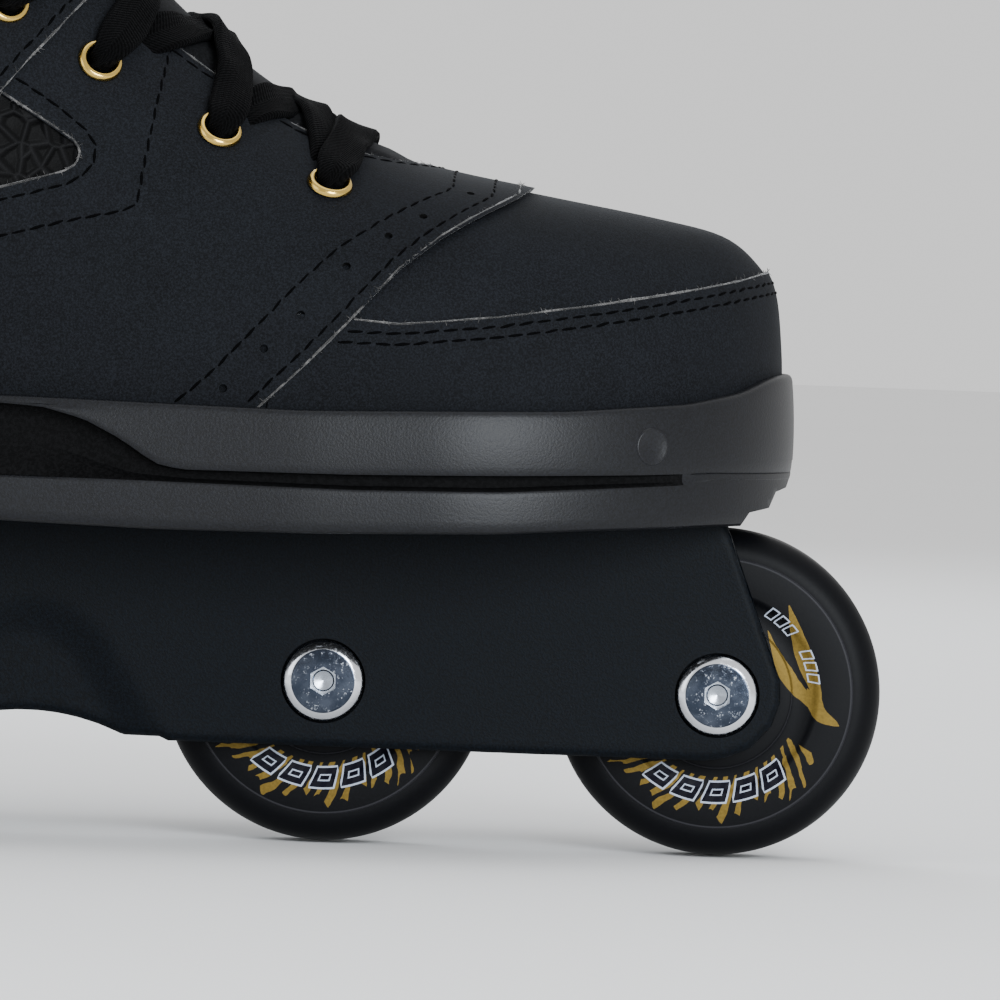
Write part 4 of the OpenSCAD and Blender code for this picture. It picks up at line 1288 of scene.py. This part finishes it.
def pull_loop():
    """Webbing loop sewn to the back of the collar."""
    low, high = [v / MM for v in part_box("pull_loop")]
    x0, x1, z0, z1 = low.x + 0.9, high.x - 0.9, low.z, high.z - 0.9
    path = [(x0, 0, z0)] + [(x0 - 0.2, 0, mix(z0, z1 - 4, t)) for t in (0.3, 0.6, 0.9)]
    path += [((x0 + x1) / 2 + (x0 - x1) / 2 * math.cos(a), 0, z1 - 4 + 4 * math.sin(a))
             for a in np.linspace(0.35, math.pi - 0.35, 7)]
    path += [(x1 + 0.1, 0, mix(z1 - 4, z0, t)) for t in (0.1, 0.4, 0.7, 1.0)]
    line = resample(spline(path, 4), 0.8)
    normals = np.cross(np.gradient(line, axis=0), np.array([0.0, 1, 0]))
    piece = sweep("pull_loop", line, flat_profile(high.y - low.y, 1.5, 5), finish("webbing"), normals, uv=True)
    return settle(piece, "pull_tab", "cuff_body", slot="webbing", nodes=("pull_loop",))


# ---------------------------------------------------------------- cuff, strap
def gap_keeper():
    """Keeps the raised panel off the outer side, where the buckle sits."""
    return top_prism([(-110, -90), (60, -90), (60, 0), (-110, 0)], finish("cuff"), 100, 330)


def cuff_shell():
    """Plastic cuff with its raised rear panel."""
    form = last_form()
    piece = form.shell(1.7, 4.55, "cuff", finish("cuff"))
    outline = spline(CUFF_SIDE + CUFF_SIDE[:1], 5)[:-1]
    cut(piece, side_prism([tuple(p) for p in outline], finish("cuff")))
    gap = top_prism([(-40, -23), (60, -23), (60, 23), (-40, 23)], finish("cuff"), 100, 330)
    cut(piece, gap, "DIFFERENCE")
    holes = [((-68, side * 50.0, 140), (0, side, 0)) for side in (-1, 1)]
    cut(piece, punches(holes, 4.2, 32), "DIFFERENCE")
    bevel_edges(piece, 0.7, 3)
    finish_mesh(piece, 35)
    panel = form.shell(4.2, 5.15, "panel", finish("cuff"))
    cut(panel, side_prism([tuple(p) for p in spline(CUFF_PANEL, 5)], finish("cuff")))
    cut(panel, gap_keeper(), "DIFFERENCE")
    bevel_edges(panel, 0.45, 3)
    piece = join("cuff", [piece, finish_mesh(panel, 35)])
    return settle(piece, "cuff_shell", "cuff_body", slot="cuff_plastic", nodes=("cuff",))


def bevel_edges(piece, width, segments):
    """Rounds every sharp edge of a piece."""
    modifier = piece.modifiers.new("round", "BEVEL")
    modifier.width = width
    modifier.segments = segments
    modifier.limit_method = "ANGLE"
    modifier.angle_limit = math.radians(38)
    modifier.use_clamp_overlap = True
    return bake(piece)


def strap(look):
    """Ribbed strap over the front of the shaft, toothed where the buckle grips it."""
    form = last_form()
    hits = []
    for a in np.linspace(-1.42, 1.42, 120):
        d = Vector((math.cos(a), math.sin(a), 0))
        found = form.cast(Vector((-40, 0, STRAP_Z)) + d * 120, -d)
        if found and found[0].x > (-31 if a < 0 else -37):
            hits.append(found)
    points, normals = form.even(hits, 1.2, 5.9)
    normals[:, 2] = 0
    band = sweep("band", points, flat_profile(19.4, 1.9, 6), finish("nylon"), normals)
    teeth_at, teeth_n = form.even(hits[: int(len(hits) * 0.42)], look.tooth_pitch / MM, 6.85)
    tooth = ([(-0.9, -5.5, 0), (0.9, -5.5, 0), (0.9, -5.5, 0.75), (-0.9, 5.5, 0), (0.9, 5.5, 0), (0.9, 5.5, 0.75)],
             [(0, 1, 2), (3, 5, 4), (0, 3, 4, 1), (1, 4, 5, 2), (0, 2, 5, 3)])
    places = [place((a + b) / 2, b - a, n) for a, b, n in zip(teeth_at[:-1], teeth_at[1:], teeth_n[:-1])]
    teeth = instances("teeth", tooth, places, finish("nylon"))
    dome = [(0.001, 0.0), (1.9, 0.0), (1.95, 0.2), (1.6, 0.75), (0.9, 1.05), (0.001, 1.15)]
    end, normal = points[-5], Vector(normals[-5])
    places = [place(Vector(end) + normal * 0.9 + Vector((0, 0, dz)), (0, 0, 1), normal) for dz in (-5, 5)]
    rivets = instances("rivets", turned(dome, 24), places, finish("zinc"))
    settle(rivets, "strap_rivet_heads", "cuff_body", slot="zinc", nodes=("strap_rivets",))
    return settle(join("strap_band", [band, teeth]), "strap_band", "cuff_body", slot="nylon", nodes=("strap",))


# ---------------------------------------------------------------- sole plate
SOLE_W = soft_lookup([(-145, 46), (-60, 47.5), (-10, 50), (50, 54), (138, 54)], 8)
SOLE_LOW = [(-145, 59.4), (-60, 58.8), (-3.5, 58.1), (24.9, 57.6), (53.5, 57.9), (85.9, 58.9), (100.7, 59.8),
            (124.3, 61), (140, 61.5)]
SOLE_RIM = soft_lookup([(-150, 89), (-143, 88), (-132, 84.5), (-110, 82.4), (-60, 81), (0, 80.7), (50, 80),
                        (98, 81.4), (120, 83.2), (130, 85.4), (134, 87.4), (137, 88.7), (142, 88.9)], 3)
# the hollow along the wall: its lower lip, its crease, its upper lip and its depth
HOLLOW_LOW = [(-150, 66.6), (-66, 66.4), (20.7, 66.4), (59, 66.1), (85.6, 66.6), (103.4, 67.7), (117.7, 68.6),
              (124, 69.6)]
HOLLOW_CREASE = [(-150, 67.3), (-68, 67.2), (-60, 69.5), (-50, 71.6), (-4.4, 72.6), (3, 72.2), (7.7, 71),
                 (14, 69.1), (20, 67.5), (30, 66.9), (59, 66.7), (85.6, 67.2), (103.4, 68.3), (117.7, 69.1),
                 (124, 69.9)]
HOLLOW_TOP = [(-150, 69.3), (-68, 69), (-64, 70.8), (-54, 77), (-40, 79.2), (-8, 79.3), (3, 78.7), (10.6, 76.8),
              (17.5, 73.4), (21.6, 70.7), (24.7, 69), (29, 68.4), (58.9, 68.6), (85.5, 69.3), (110.5, 70.1),
              (124, 70.7)]
HOLLOW_DEPTH = [(-150, 2.2), (-72, 2.3), (-60, 4.4), (8, 4.5), (20, 3.2), (27, 2.5), (104, 2.2), (113, 1.3),
                (121, 0)]


# where the mould was filled: a point level with the mark, and the mark's section
GATE_MARK = ((112.5, 0, 75.4), [(0.001, 0.10), (2.75, 0.10), (2.95, 0.20), (3.15, 0.20), (3.3, 0.08), (3.5, -0.3)])
SOLE_SCREWS = [(108, -25), (108, 34), (48, -36), (48, 36), (-52, -31), (-52, 31), (-112, -27), (-112, 27)]


def table(pairs, x):
    """A table read in straight lines."""
    return float(np.interp(x, [p[0] for p in pairs], [p[1] for p in pairs]))


def sole_column(t, side):
    """One column of the sole's wall, from under its lower edge up and over its rim, at angle t round the plate."""
    back, front = -145.0, 138.6

    def at(inset, z):
        mid, reach = (front + back) / 2, (front - back) / 2 - inset
        x = mid + reach * math.cos(t)
        half = (float(SOLE_W(x)) - inset) * float(round_in((x - back - inset) / (46 - inset), 2.3)
                                                  * round_in((front - inset - x) / (66 - inset), 2.3))
        return x, middle_y(x) + side * half, z

    x = at(0.0, 0.0)[0]
    low, rim = table(SOLE_LOW, x), float(SOLE_RIM(x))
    lip, crease, top = (table(rows, x) for rows in (HOLLOW_LOW, HOLLOW_CREASE, HOLLOW_TOP))
    depth = table(HOLLOW_DEPTH, x)
    flare = 0.35 * float(smooth((x - 20) / 60))
    # each level: its height, and how far it lies inside the widest outline
    levels = [(low + 0.2, 6.0), (low, 1.6), (low + 0.12, 0.9), (low + 0.5, 0.35), (low + 1.2, 0.1), (low + 2.4, 0.0),
              (mix(low, lip, 0.6), 0.0), (lip - 1.2, 0.0), (lip - 0.5, 0.06), (lip - 0.12, depth * 0.06 + 0.08),
              (lip + 0.05, depth * 0.16 + 0.08), (mix(lip, crease, 0.5), depth * 0.58), (crease, depth * 0.97),
              (mix(crease, top, 0.35), depth), (mix(crease, top, 0.7), depth), (top - 0.12, depth),
              (top, depth * 0.75 + 0.05), (top + 0.12, 0.3), (top + 0.5, 0.12 + flare * 0.1)]
    for f in (0.12, 0.26, 0.42, 0.58, 0.74, 0.88):
        levels.append((mix(top + 0.5, rim - 1.3, f), 0.12 + flare * (1 - (2 * f - 1) ** 2) * -0.6 + 0.5 * f * f))
    levels += [(rim - 1.3, 0.62), (rim - 0.7, 0.78), (rim - 0.3, 1.05), (rim - 0.06, 1.5), (rim, 2.1),
               (rim - 0.1, 2.7), (rim - 0.5, 3.6), (rim - 0.6, 9.0)]
    return [at(max(inset, -0.2), z) for z, inset in levels]


def sole_plate():
    """Sole plate with its undercut arch and groove (their faces in a painted-shade plastic), rolled rim, boot pocket
    and frame channel.
    """
    columns = [sole_column(t, -1) for t in np.linspace(0.001, math.pi - 0.001, 170)]
    columns += [sole_column(t, 1) for t in np.linspace(math.pi - 0.001, 0.001, 170)]
    rows, count = len(columns[0]), len(columns)
    points = [p for column in columns for p in column]
    faces = [(k * rows + q, ((k + 1) % count) * rows + q, ((k + 1) % count) * rows + q + 1, k * rows + q + 1)
             for k in range(count) for q in range(rows - 1)]
    faces.append(tuple(k * rows for k in range(count)))
    faces.append(tuple(k * rows + rows - 1 for k in range(count))[::-1])
    piece = mesh_object("sole", points, faces, finish("sole"), finish("hollow_painted_shade"))
    wall = rows - 1
    # the faces of the groove and the arch recess take the painted-shade plastic
    for face in piece.data.polygons[: count * wall]:
        if 9 <= face.index % wall <= 16 and piece.data.vertices[face.vertices[0]].co.x < 119:
            face.material_index = 1
    solid = last_form().layer(0.25)
    mesh = bpy.data.meshes.new("pocket")
    solid.to_mesh(mesh)
    mesh.materials.append(finish("sole"))
    cut(piece, new_object("pocket", mesh), "DIFFERENCE")
    channel = [(-131, -19.8), (131, -19.8), (131, 19.8), (-131, 19.8)]
    cut(piece, top_prism(channel, finish("sole"), 40, 64.7), "DIFFERENCE")
    toe = [(127, 50), (128.6, 60.6), (130.6, 63.7), (134.2, 64.5), (135.4, 67.4), (137.3, 68.1), (138.05, 70.2),
           (138.4, 73), (160, 73), (160, 50)]
    heel = [(-127, 50), (-130, 60.5), (-135, 64), (-141, 70), (-160, 76), (-160, 50)]
    for outline in (toe, heel):
        cut(piece, side_prism(outline, finish("sole")), "DIFFERENCE")
    sinks = [((x, y, 58), (0, 0, 1)) for x, y in SOLE_SCREWS]
    cut(piece, punches(sinks, 4.0, 32), "DIFFERENCE")
    finish_mesh(piece, 32)
    tree = BVHTree.FromPolygons([v.co for v in piece.data.vertices],
                                [tuple(p.vertices) for p in piece.data.polygons])
    marks = []
    for side in (-1, 1):
        hit, normal, _face, _far = tree.ray_cast(Vector(GATE_MARK[0]) + Vector((0, side * 90, 0)), (0, -side, 0))
        marks.append(place(hit, (0, 0, 1), normal))
    piece = join("sole", [piece, instances("marks", turned(GATE_MARK[1], 48), marks, finish("gate"))])
    return settle(piece, "sole_plate", "chassis", slot="sole_plastic", nodes=("soulplate",))


# ---------------------------------------------------------------- frame
FRAME_FRONT = [(124, 64.6), (127, 60.5), (137.4, 33), (137.5, 29), (136, 24.5), (132.5, 20.6), (127.5, 18.5),
               (124.5, 18)]
SCOOP = [(0, 42.6), (4, 42), (8.4, 40), (13.1, 36), (18.9, 27.1), (22.8, 20.8), (24.7, 17.5)]
GROOVE_R, GROOVE_TOP, WALL_OUT, WALL_IN = 41.5, 22.6, 19.5, 14.0


def frame_edges(x):
    """Lowest and highest point of the frame's wall at x, the same fore and aft."""
    a = abs(x)
    top = min(64.6, table([(124, 64.6), (127, 60.5), (137.4, 33), (137.5, 29.5)], a))
    low = table([(24.4, 18.7), (26, 18), (124.5, 18), (127.5, 18.5), (132.5, 20.6), (136, 24.5), (137.5, 29)], a)
    if a < 24.4:
        low = max(18.7, GROOVE_TOP - GROOVE_R + math.sqrt(GROOVE_R ** 2 - a * a))
    return low, max(top, low + 0.02)


def frame_wall(side):
    """One wall of the frame: rounded all round its edge, with a shallow dish over the groove."""
    xs = np.unique(np.concatenate([137.5 * np.sin(np.linspace(-1, 1, 150) * math.pi / 2), np.linspace(-30, 30, 61),
                                   [-127.5, 127.5, -24.4, 24.4]]))
    edge = []
    for x in np.linspace(-137.5, 137.5, 900):
        low, top = frame_edges(x)
        edge += [(x, low), (x, top)]
    for a, b in zip(FRAME_FRONT[:-1], FRAME_FRONT[1:]):
        for f in np.linspace(0, 1, 30):
            edge += [(mix(a[0], b[0], f), mix(a[1], b[1], f)), (-mix(a[0], b[0], f), mix(a[1], b[1], f))]
    edge = np.array(edge)
    scoop = resample(spline(SCOOP, 6), 0.5)
    scoop = np.vstack([scoop, scoop * np.array([-1, 1])])
    fractions = np.concatenate([[0, 0.004, 0.012, 0.022, 0.035], np.linspace(0.06, 0.94, 30),
                                [0.965, 0.978, 0.988, 0.996, 1]])
    points = []
    for x in xs:
        low, top = frame_edges(x)
        for f in fractions:
            z = mix(low, top, f)
            near = float(np.min(np.hypot(edge[:, 0] - x, edge[:, 1] - z)))
            r = 1.5
            drop = r - math.sqrt(max(0.0, r * r - max(0.0, r - near) ** 2)) if z < 63 else 0.0
            inside = abs(x) < 26 and z < table(SCOOP, abs(x))
            away = float(np.min(np.hypot(scoop[:, 0] - x, scoop[:, 1] - z))) if abs(x) < 40 else 40.0
            dish = 1.5 * float(smooth((away + 2.0) / 9.0)) if inside else 1.5 * float(smooth((2.0 - away) / 9.0))
            points.append((x, side * (WALL_OUT - min(drop, 1.4) - dish), z))
    inner = [(x, side * WALL_IN, z) for x, _y, z in points]
    return slab("wall", points, inner, len(fractions), finish("frame"))


def cylinder_cutter(centre, radius, y_from, y_to):
    """A cutter across the frame."""
    outline = [(centre[0] + a, centre[1] + b) for a, b in ring(radius, 64)]
    return side_prism(outline, finish("frame"), y_from, y_to)


def skate_frame():
    """Both frame walls with their axle seats, the top plate and the webs."""
    walls = []
    for side in (-1, 1):
        wall = frame_wall(side)
        for x in AXLE_X:
            seat = sorted((side * (WALL_OUT - 2.4), side * (WALL_OUT + 3)))
            cut(wall, cylinder_cutter((x, 30), 7.75, *seat), "DIFFERENCE")
            cut(wall, cylinder_cutter((x, 30), 4.05, *sorted((side * 10, side * 30))), "DIFFERENCE")
        walls.append(finish_mesh(wall, 30))
    plate = top_prism([(-124, -19), (124, -19), (124, 19), (-124, 19)], finish("frame"), 61.2, 64.6)
    for x in (-82.5, 82.5):
        cut(plate, punches([((x, 0, 63), (0, 0, 1))], 4.3, 32), "DIFFERENCE")
    parts = walls + [finish_mesh(plate, 30)]
    for x in (-90, 90):
        parts.append(finish_mesh(top_prism([(x - 1.6, -14.5), (x + 1.6, -14.5), (x + 1.6, 14.5), (x - 1.6, 14.5)],
                                           finish("frame"), 40, 52), 30))
    for x in AXLE_X:
        for side in (-1, 1):
            boss = [(4.05, side * 12.06), (5.6, side * 12.06), (5.9, side * 12.3), (5.9, side * 14.5),
                    (4.05, side * 14.5)]
            parts.append(lathe("boss", boss, finish("frame"), (x, 0, 30), 64))
    return settle(join("skate_frame", parts), "skate_frame", "chassis", slot="frame_black", nodes=("frame",))


AXLE_X = (126.0, 54.0, -54.0, -126.0)
WHEELS = (1, 2, 3, 4)


def axle_bolts():
    """Plated axle bolts: a polished bevel round a scratched flat face with a painted dark reflection, with a hexagon
    socket.
    """
    pieces = []
    for x in AXLE_X:
        face = -WALL_OUT - 0.9
        head = [(0.001, face), (5.6, face), (5.8, face + 0.02), (6.55, face + 0.42), (7.2, face + 0.95),
                (7.4, face + 1.3), (7.4, face + 3.0), (6.9, face + 3.2), (2.9, face + 3.2), (2.9, -1.4),
                (2.6, -1.2), (0.001, -1.2)]
        bolt = lathe("bolt", head, finish("bolt"), (x, 0, 30), 96, 25)
        corners = [(x + 2.65 * math.cos(math.radians(a)), 30 + 2.65 * math.sin(math.radians(a)))
                   for a in range(30, 390, 60)]
        cut(bolt, side_prism(corners, finish("socket"), face - 2, face + 2.6), "DIFFERENCE")
        pieces.append(finish_mesh(bolt, 25))
        floor_y = face + 2.6
        drill = [(0.001, floor_y - 0.02), (1.2, floor_y - 0.25), (1.75, floor_y - 0.45), (2.0, floor_y - 0.1),
                 (2.0, floor_y + 0.3), (0.001, floor_y + 0.3)]
        pieces.append(lathe("drill", drill, finish("socket"), (x, 0, 30), 48, 25))
    return settle(join("axle_bolt_heads", pieces), "axle_bolt_heads", "chassis", slot="chrome",
                  nodes=("axle_bolts",))


# ---------------------------------------------------------------- wheels
def wheel(number):
    """Tyre and hub turned as one, with the printed ring and the painted highlight lines on the side faces."""
    low, high = [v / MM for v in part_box("tyre_%d" % number)]
    centre = (low + high) / 2
    r, half = (high.z - low.z) / 2, (high.y - low.y) / 2
    bore, seat, hub = 11.02, 9.4, r - 11.5
    side = [(bore, -half), (13.2, -half), (13.55, -half + 0.12), (13.9, -half + 0.85), (14.3, -half + 1.0),
            (hub - 1.2, -half + 1.0), (hub - 0.5, -half + 0.75), (hub, -half + 0.42), (hub + 0.4, -half + 0.4),
            (r - 5.5, -half + 0.4), (r - 5.25, -half + 0.46), (r - 5.15, -half + 0.75), (r - 5.0, -half + 0.95)]
    round_side = [(r - 5 + 5 * math.sin(a), -half + 6.2 - 5.25 * math.cos(a))
                  for a in np.linspace(0.06, math.pi / 2, 16)]
    face = side + round_side
    profile = face + [(a, -b) for a, b in face[::-1]]
    profile += [(bore, half - 7.03), (seat, half - 7.03), (seat, -half + 7.03), (bore, -half + 7.03)]
    print_and_highlight_rings = wheel_face("wheel_face_%d" % number, tuple(v * MM for v in centre))
    piece = lathe("wheel", profile, print_and_highlight_rings, centre, 160, 40)
    return settle(piece, "printed_wheel_%d" % number, "wheel_%d" % number, slot="urethane",
                  nodes=("tyre_%d" % number, "core_%d" % number))


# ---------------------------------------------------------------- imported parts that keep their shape
def dress(node, finish_name, width):
    """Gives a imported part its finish, with its sharp edges rounded and its round faces smooth."""
    part = frame["nodes"][node]
    part.data.materials.clear()
    part.data.materials.append(finish(finish_name))
    weld = part.modifiers.new("weld", "WELD")
    weld.merge_threshold = 0.00001
    flat = part.modifiers.new("flat", "DECIMATE")
    flat.decimate_type = "DISSOLVE"
    flat.angle_limit = math.radians(0.8)
    if width:
        modifier = part.modifiers.new("round", "BEVEL")
        modifier.width = width * MM
        modifier.segments = 3
        modifier.limit_method = "ANGLE"
        modifier.angle_limit = math.radians(35)
        modifier.use_clamp_overlap = True
        modifier.harden_normals = False
    for face in part.data.polygons:
        face.use_smooth = True


DRESSED = {
    "groove_block": ("nylon", 0.6),
    "sole_screws": ("steel", 0.25), "sole_t_nuts": ("zinc", 0.2), "shock_pad": ("pad", 0.8), "insole": ("foam", 0.8),
    "frame_bolts": ("zinc", 0.3), "frame_washers": ("zinc", 0.2), "axle_barrels": ("bolt", 0.5),
    "bearing_inner_races": ("steel", 0.12), "bearing_balls": ("chrome", 0),
    "bearing_cages": ("cage", 0.1), "bearing_spacers": ("zinc", 0.1), "cuff_screws": ("zinc", 0.4),
    "cuff_nuts": ("zinc", 0.2), "buckle_base": ("cuff", 0.35),
    "buckle_pin": ("steel", 0.1), "buckle_lever": ("nylon", 0.4), "release_pin": ("steel", 0.1),
    "release_tab": ("nylon", 0.3)}
for number in WHEELS:
    DRESSED["outer_races_%d" % number] = ("steel", 0.12)
    DRESSED["shields_%d" % number] = ("steel", 0.05)


# ---------------------------------------------------------------- stage
LAMP_TINT = (0.90, 0.95, 1.0)


def area_light(name, at, to, size, power):
    data = bpy.data.lights.new(name, "AREA")
    data.shape = "RECTANGLE"
    data.size, data.size_y = size
    data.energy = power
    data.color = LAMP_TINT
    lamp = bpy.data.objects.new(name, data)
    lamp.location = at
    lamp.rotation_euler = (Vector(to) - Vector(at)).to_track_quat("-Z", "Y").to_euler()
    bpy.context.scene.collection.objects.link(lamp)
    return lamp


def build_stage(studio):
    """Pale floor, even room light, four soft lamps and the camera."""
    scene = bpy.context.scene
    floor = CAD_BOX[0][2] - 0.0005
    paper = mesh_object("paper_floor", [(-6, -6, floor), (6, -6, floor), (6, 6, floor), (-6, 6, floor)],
                        [(0, 1, 2, 3)], finish("paper"))
    world = bpy.data.worlds.new("studio")
    world.use_nodes = True
    sky = world.node_tree.nodes["Background"]
    sky.inputs["Color"].default_value = (1.0, 1.0, 1.0, 1.0)
    sky.inputs["Strength"].default_value = studio.world_light
    scene.world = world
    target = (0.02, 0, 0.10)
    area_light("key", (0.60, -1.4, 0.42), target, (0.62, 0.75), studio.key_light)
    area_light("fill", (-1.1, -0.8, 0.55), target, (0.8, 0.9), studio.key_light * 0.12)
    area_light("top", (0.1, 0.1, 1.3), target, (1.1, 0.9), studio.key_light * 0.12)
    area_light("rim", (-0.5, 1.2, 0.7), target, (0.9, 0.6), studio.key_light * 0.3)
    lens = bpy.data.cameras.new("view")
    lens.lens = studio.lens
    lens.clip_end = 20
    camera = bpy.data.objects.new("view", lens)
    scene.collection.objects.link(camera)
    eye, aim = Vector(studio.eye), Vector(studio.aim)
    turn = (aim - eye).to_track_quat("-Z", "Y").to_matrix()
    turn = turn @ Matrix.Rotation(studio.roll, 3, "Z")
    camera.matrix_world = Matrix.Translation(eye) @ turn.to_4x4()
    scene.camera = camera


# ---------------------------------------------------------------- add-on
def tint(name, description, default):
    """A linear colour property."""
    return bpy.props.FloatVectorProperty(name=name, description=description, subtype="COLOR", default=default,
                                         min=0.0, max=1.0)


def length(name, description, default):
    """A length property, in metres as Blender keeps it."""
    return bpy.props.FloatProperty(name=name, description=description, unit="LENGTH", default=default,
                                   min=0.0001, precision=5)


class SkateLook(bpy.types.PropertyGroup):
    """Colours and sizes that a user may change."""

    leather: tint("Leather", "Colour of the nubuck upper", (0.0040, 0.0047, 0.0062))
    tongue: tint("Tongue", "Colour of the nubuck tongue", (0.0036, 0.0038, 0.0044))
    sole: tint("Sole", "Colour of the sole plate", (0.0024, 0.0028, 0.0042))
    frame: tint("Frame", "Colour of the frame", (0.0012, 0.0022, 0.0037))
    cuff: tint("Cuff", "Colour of the cuff", (0.0020, 0.0021, 0.0027))
    eyelet: tint("Eyelets", "Colour of the eyelets' plating", (0.62, 0.42, 0.11))
    lace_width: length("Lace width", "Width of the flat laces", 0.0078)
    lace_thick: length("Lace thickness", "Thickness of the flat laces", 0.0020)
    stitch_pitch: length("Stitch pitch", "Distance from stitch to stitch", 0.0034)
    stitch_length: length("Stitch length", "Length of one stitch", 0.00335)
    tooth_pitch: length("Tooth pitch", "Distance from tooth to tooth of the strap", 0.0024)


class SkateStudio(bpy.types.PropertyGroup):
    """Camera and light that a user may change."""

    eye: bpy.props.FloatVectorProperty(name="Eye", description="Where the camera stands", subtype="XYZ",
                                       unit="LENGTH", default=(0.1126, -1.640, 0.1108))
    aim: bpy.props.FloatVectorProperty(name="Aim", description="Point at the middle of the view", subtype="XYZ",
                                       unit="LENGTH", default=(0.08476, 0.0, 0.06365))
    roll: bpy.props.FloatProperty(name="Roll", description="Turn of the camera about its view", unit="ROTATION",
                                  default=math.radians(2.09))
    lens: bpy.props.FloatProperty(name="Lens", description="Focal length in millimetres", default=320.0, min=20)
    key_light: bpy.props.FloatProperty(name="Key light", description="Power of the largest lamp", unit="POWER",
                                       default=31.0, min=0)
    world_light: bpy.props.FloatProperty(name="Room light", description="Even light from all round", default=1.0,
                                         min=0)


class SKATE_OT_stage(bpy.types.Operator):
    """Lays the floor and sets the lamps and the camera"""

    bl_idname = "skate.stage"
    bl_label = "Stage"

    def execute(self, context):
        build_stage(context.scene.skate_studio)
        return {"FINISHED"}


class SKATE_OT_packed(bpy.types.Operator):
    """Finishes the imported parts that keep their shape"""

    bl_idname = "skate.packed"
    bl_label = "Packed parts"

    def execute(self, context):
        for node, (name, width) in DRESSED.items():
            dress(node, name, width)
        return {"FINISHED"}


class SKATE_OT_sole(bpy.types.Operator):
    """Moulds the sole plate"""

    bl_idname = "skate.sole"
    bl_label = "Sole plate"

    def execute(self, context):
        sole_plate()
        return {"FINISHED"}


class SKATE_OT_frame(bpy.types.Operator):
    """Moulds the frame and sets the axle bolts"""

    bl_idname = "skate.frame"
    bl_label = "Frame"

    def execute(self, context):
        skate_frame()
        axle_bolts()
        return {"FINISHED"}


class SKATE_OT_wheels(bpy.types.Operator):
    """Turns the four printed wheels"""

    bl_idname = "skate.wheels"
    bl_label = "Wheels"

    def execute(self, context):
        for number in WHEELS:
            wheel(number)
        return {"FINISHED"}


class SKATE_OT_upper(bpy.types.Operator):
    """Cuts and lays the leather panels"""

    bl_idname = "skate.upper"
    bl_label = "Leather upper"

    def execute(self, context):
        leather_upper()
        return {"FINISHED"}


class SKATE_OT_window(bpy.types.Operator):
    """Lays the textile in the side windows"""

    bl_idname = "skate.window"
    bl_label = "Window textile"

    def execute(self, context):
        window_cloth()
        return {"FINISHED"}


class SKATE_OT_edges(bpy.types.Operator):
    """Runs fibres along the cut edges"""

    bl_idname = "skate.edges"
    bl_label = "Raw edges"

    def execute(self, context):
        raw_edges()
        return {"FINISHED"}


class SKATE_OT_seams(bpy.types.Operator):
    """Sews every row of stitching"""

    bl_idname = "skate.seams"
    bl_label = "Seams"

    def execute(self, context):
        seams(context.scene.skate_look)
        return {"FINISHED"}


class SKATE_OT_eyelets(bpy.types.Operator):
    """Sets the brass eyelets"""

    bl_idname = "skate.eyelets"
    bl_label = "Eyelets"

    def execute(self, context):
        eyelets(EYELETS, "eyelet_rings", "chassis", "eyelets")
        eyelets(EYELETS_TOP, "eyelet_rings_top", "cuff_body", "eyelets_top")
        return {"FINISHED"}


class SKATE_OT_laces(bpy.types.Operator):
    """Laces the boot with flat cord"""

    bl_idname = "skate.laces"
    bl_label = "Laces"

    def execute(self, context):
        look = context.scene.skate_look
        lace_piece(look, LOW_RUNS, "lace_low", "chassis", "laces")
        lace_piece(look, HIGH_RUNS, "lace_high", "cuff_body", "laces_top")
        return {"FINISHED"}


class SKATE_OT_tongue(bpy.types.Operator):
    """Shapes the padded tongue"""

    bl_idname = "skate.tongue"
    bl_label = "Tongue"

    def execute(self, context):
        tongue()
        return {"FINISHED"}


class SKATE_OT_lining(bpy.types.Operator):
    """Shapes the padding, the collar and the pull loop"""

    bl_idname = "skate.lining"
    bl_label = "Lining"

    def execute(self, context):
        lining()
        collar_roll()
        pull_loop()
        return {"FINISHED"}


class SKATE_OT_cuff(bpy.types.Operator):
    """Moulds the cuff and its toothed strap"""

    bl_idname = "skate.cuff"
    bl_label = "Cuff and strap"

    def execute(self, context):
        cuff_shell()
        strap(context.scene.skate_look)
        return {"FINISHED"}


# in the order in which main() calls them
OPERATORS = (SKATE_OT_stage, SKATE_OT_packed, SKATE_OT_sole, SKATE_OT_frame, SKATE_OT_wheels, SKATE_OT_upper,
             SKATE_OT_window, SKATE_OT_edges, SKATE_OT_seams, SKATE_OT_eyelets, SKATE_OT_laces, SKATE_OT_tongue,
             SKATE_OT_lining, SKATE_OT_cuff)


class SKATE_PT_sidebar(bpy.types.Panel):
    """Sidebar list of the pieces of the skate."""

    bl_label = "Skate"
    bl_space_type = "VIEW_3D"
    bl_region_type = "UI"
    bl_category = "Skate"

    def draw(self, context):
        for group in (context.scene.skate_look, context.scene.skate_studio):
            for name in type(group).__annotations__:
                self.layout.prop(group, name)
        for operator in OPERATORS:
            self.layout.operator(operator.bl_idname)


CLASSES = (SkateLook, SkateStudio, *OPERATORS, SKATE_PT_sidebar)


def register():
    for cls in CLASSES:
        bpy.utils.register_class(cls)
    bpy.types.Scene.skate_look = bpy.props.PointerProperty(type=SkateLook)
    bpy.types.Scene.skate_studio = bpy.props.PointerProperty(type=SkateStudio)


def unregister():
    del bpy.types.Scene.skate_studio
    del bpy.types.Scene.skate_look
    for cls in reversed(CLASSES):
        bpy.utils.unregister_class(cls)


def main():
    register()
    for operator in OPERATORS:
        getattr(bpy.ops.skate, operator.bl_idname.split(".")[1])()


if __name__ == "__main__":
    main()
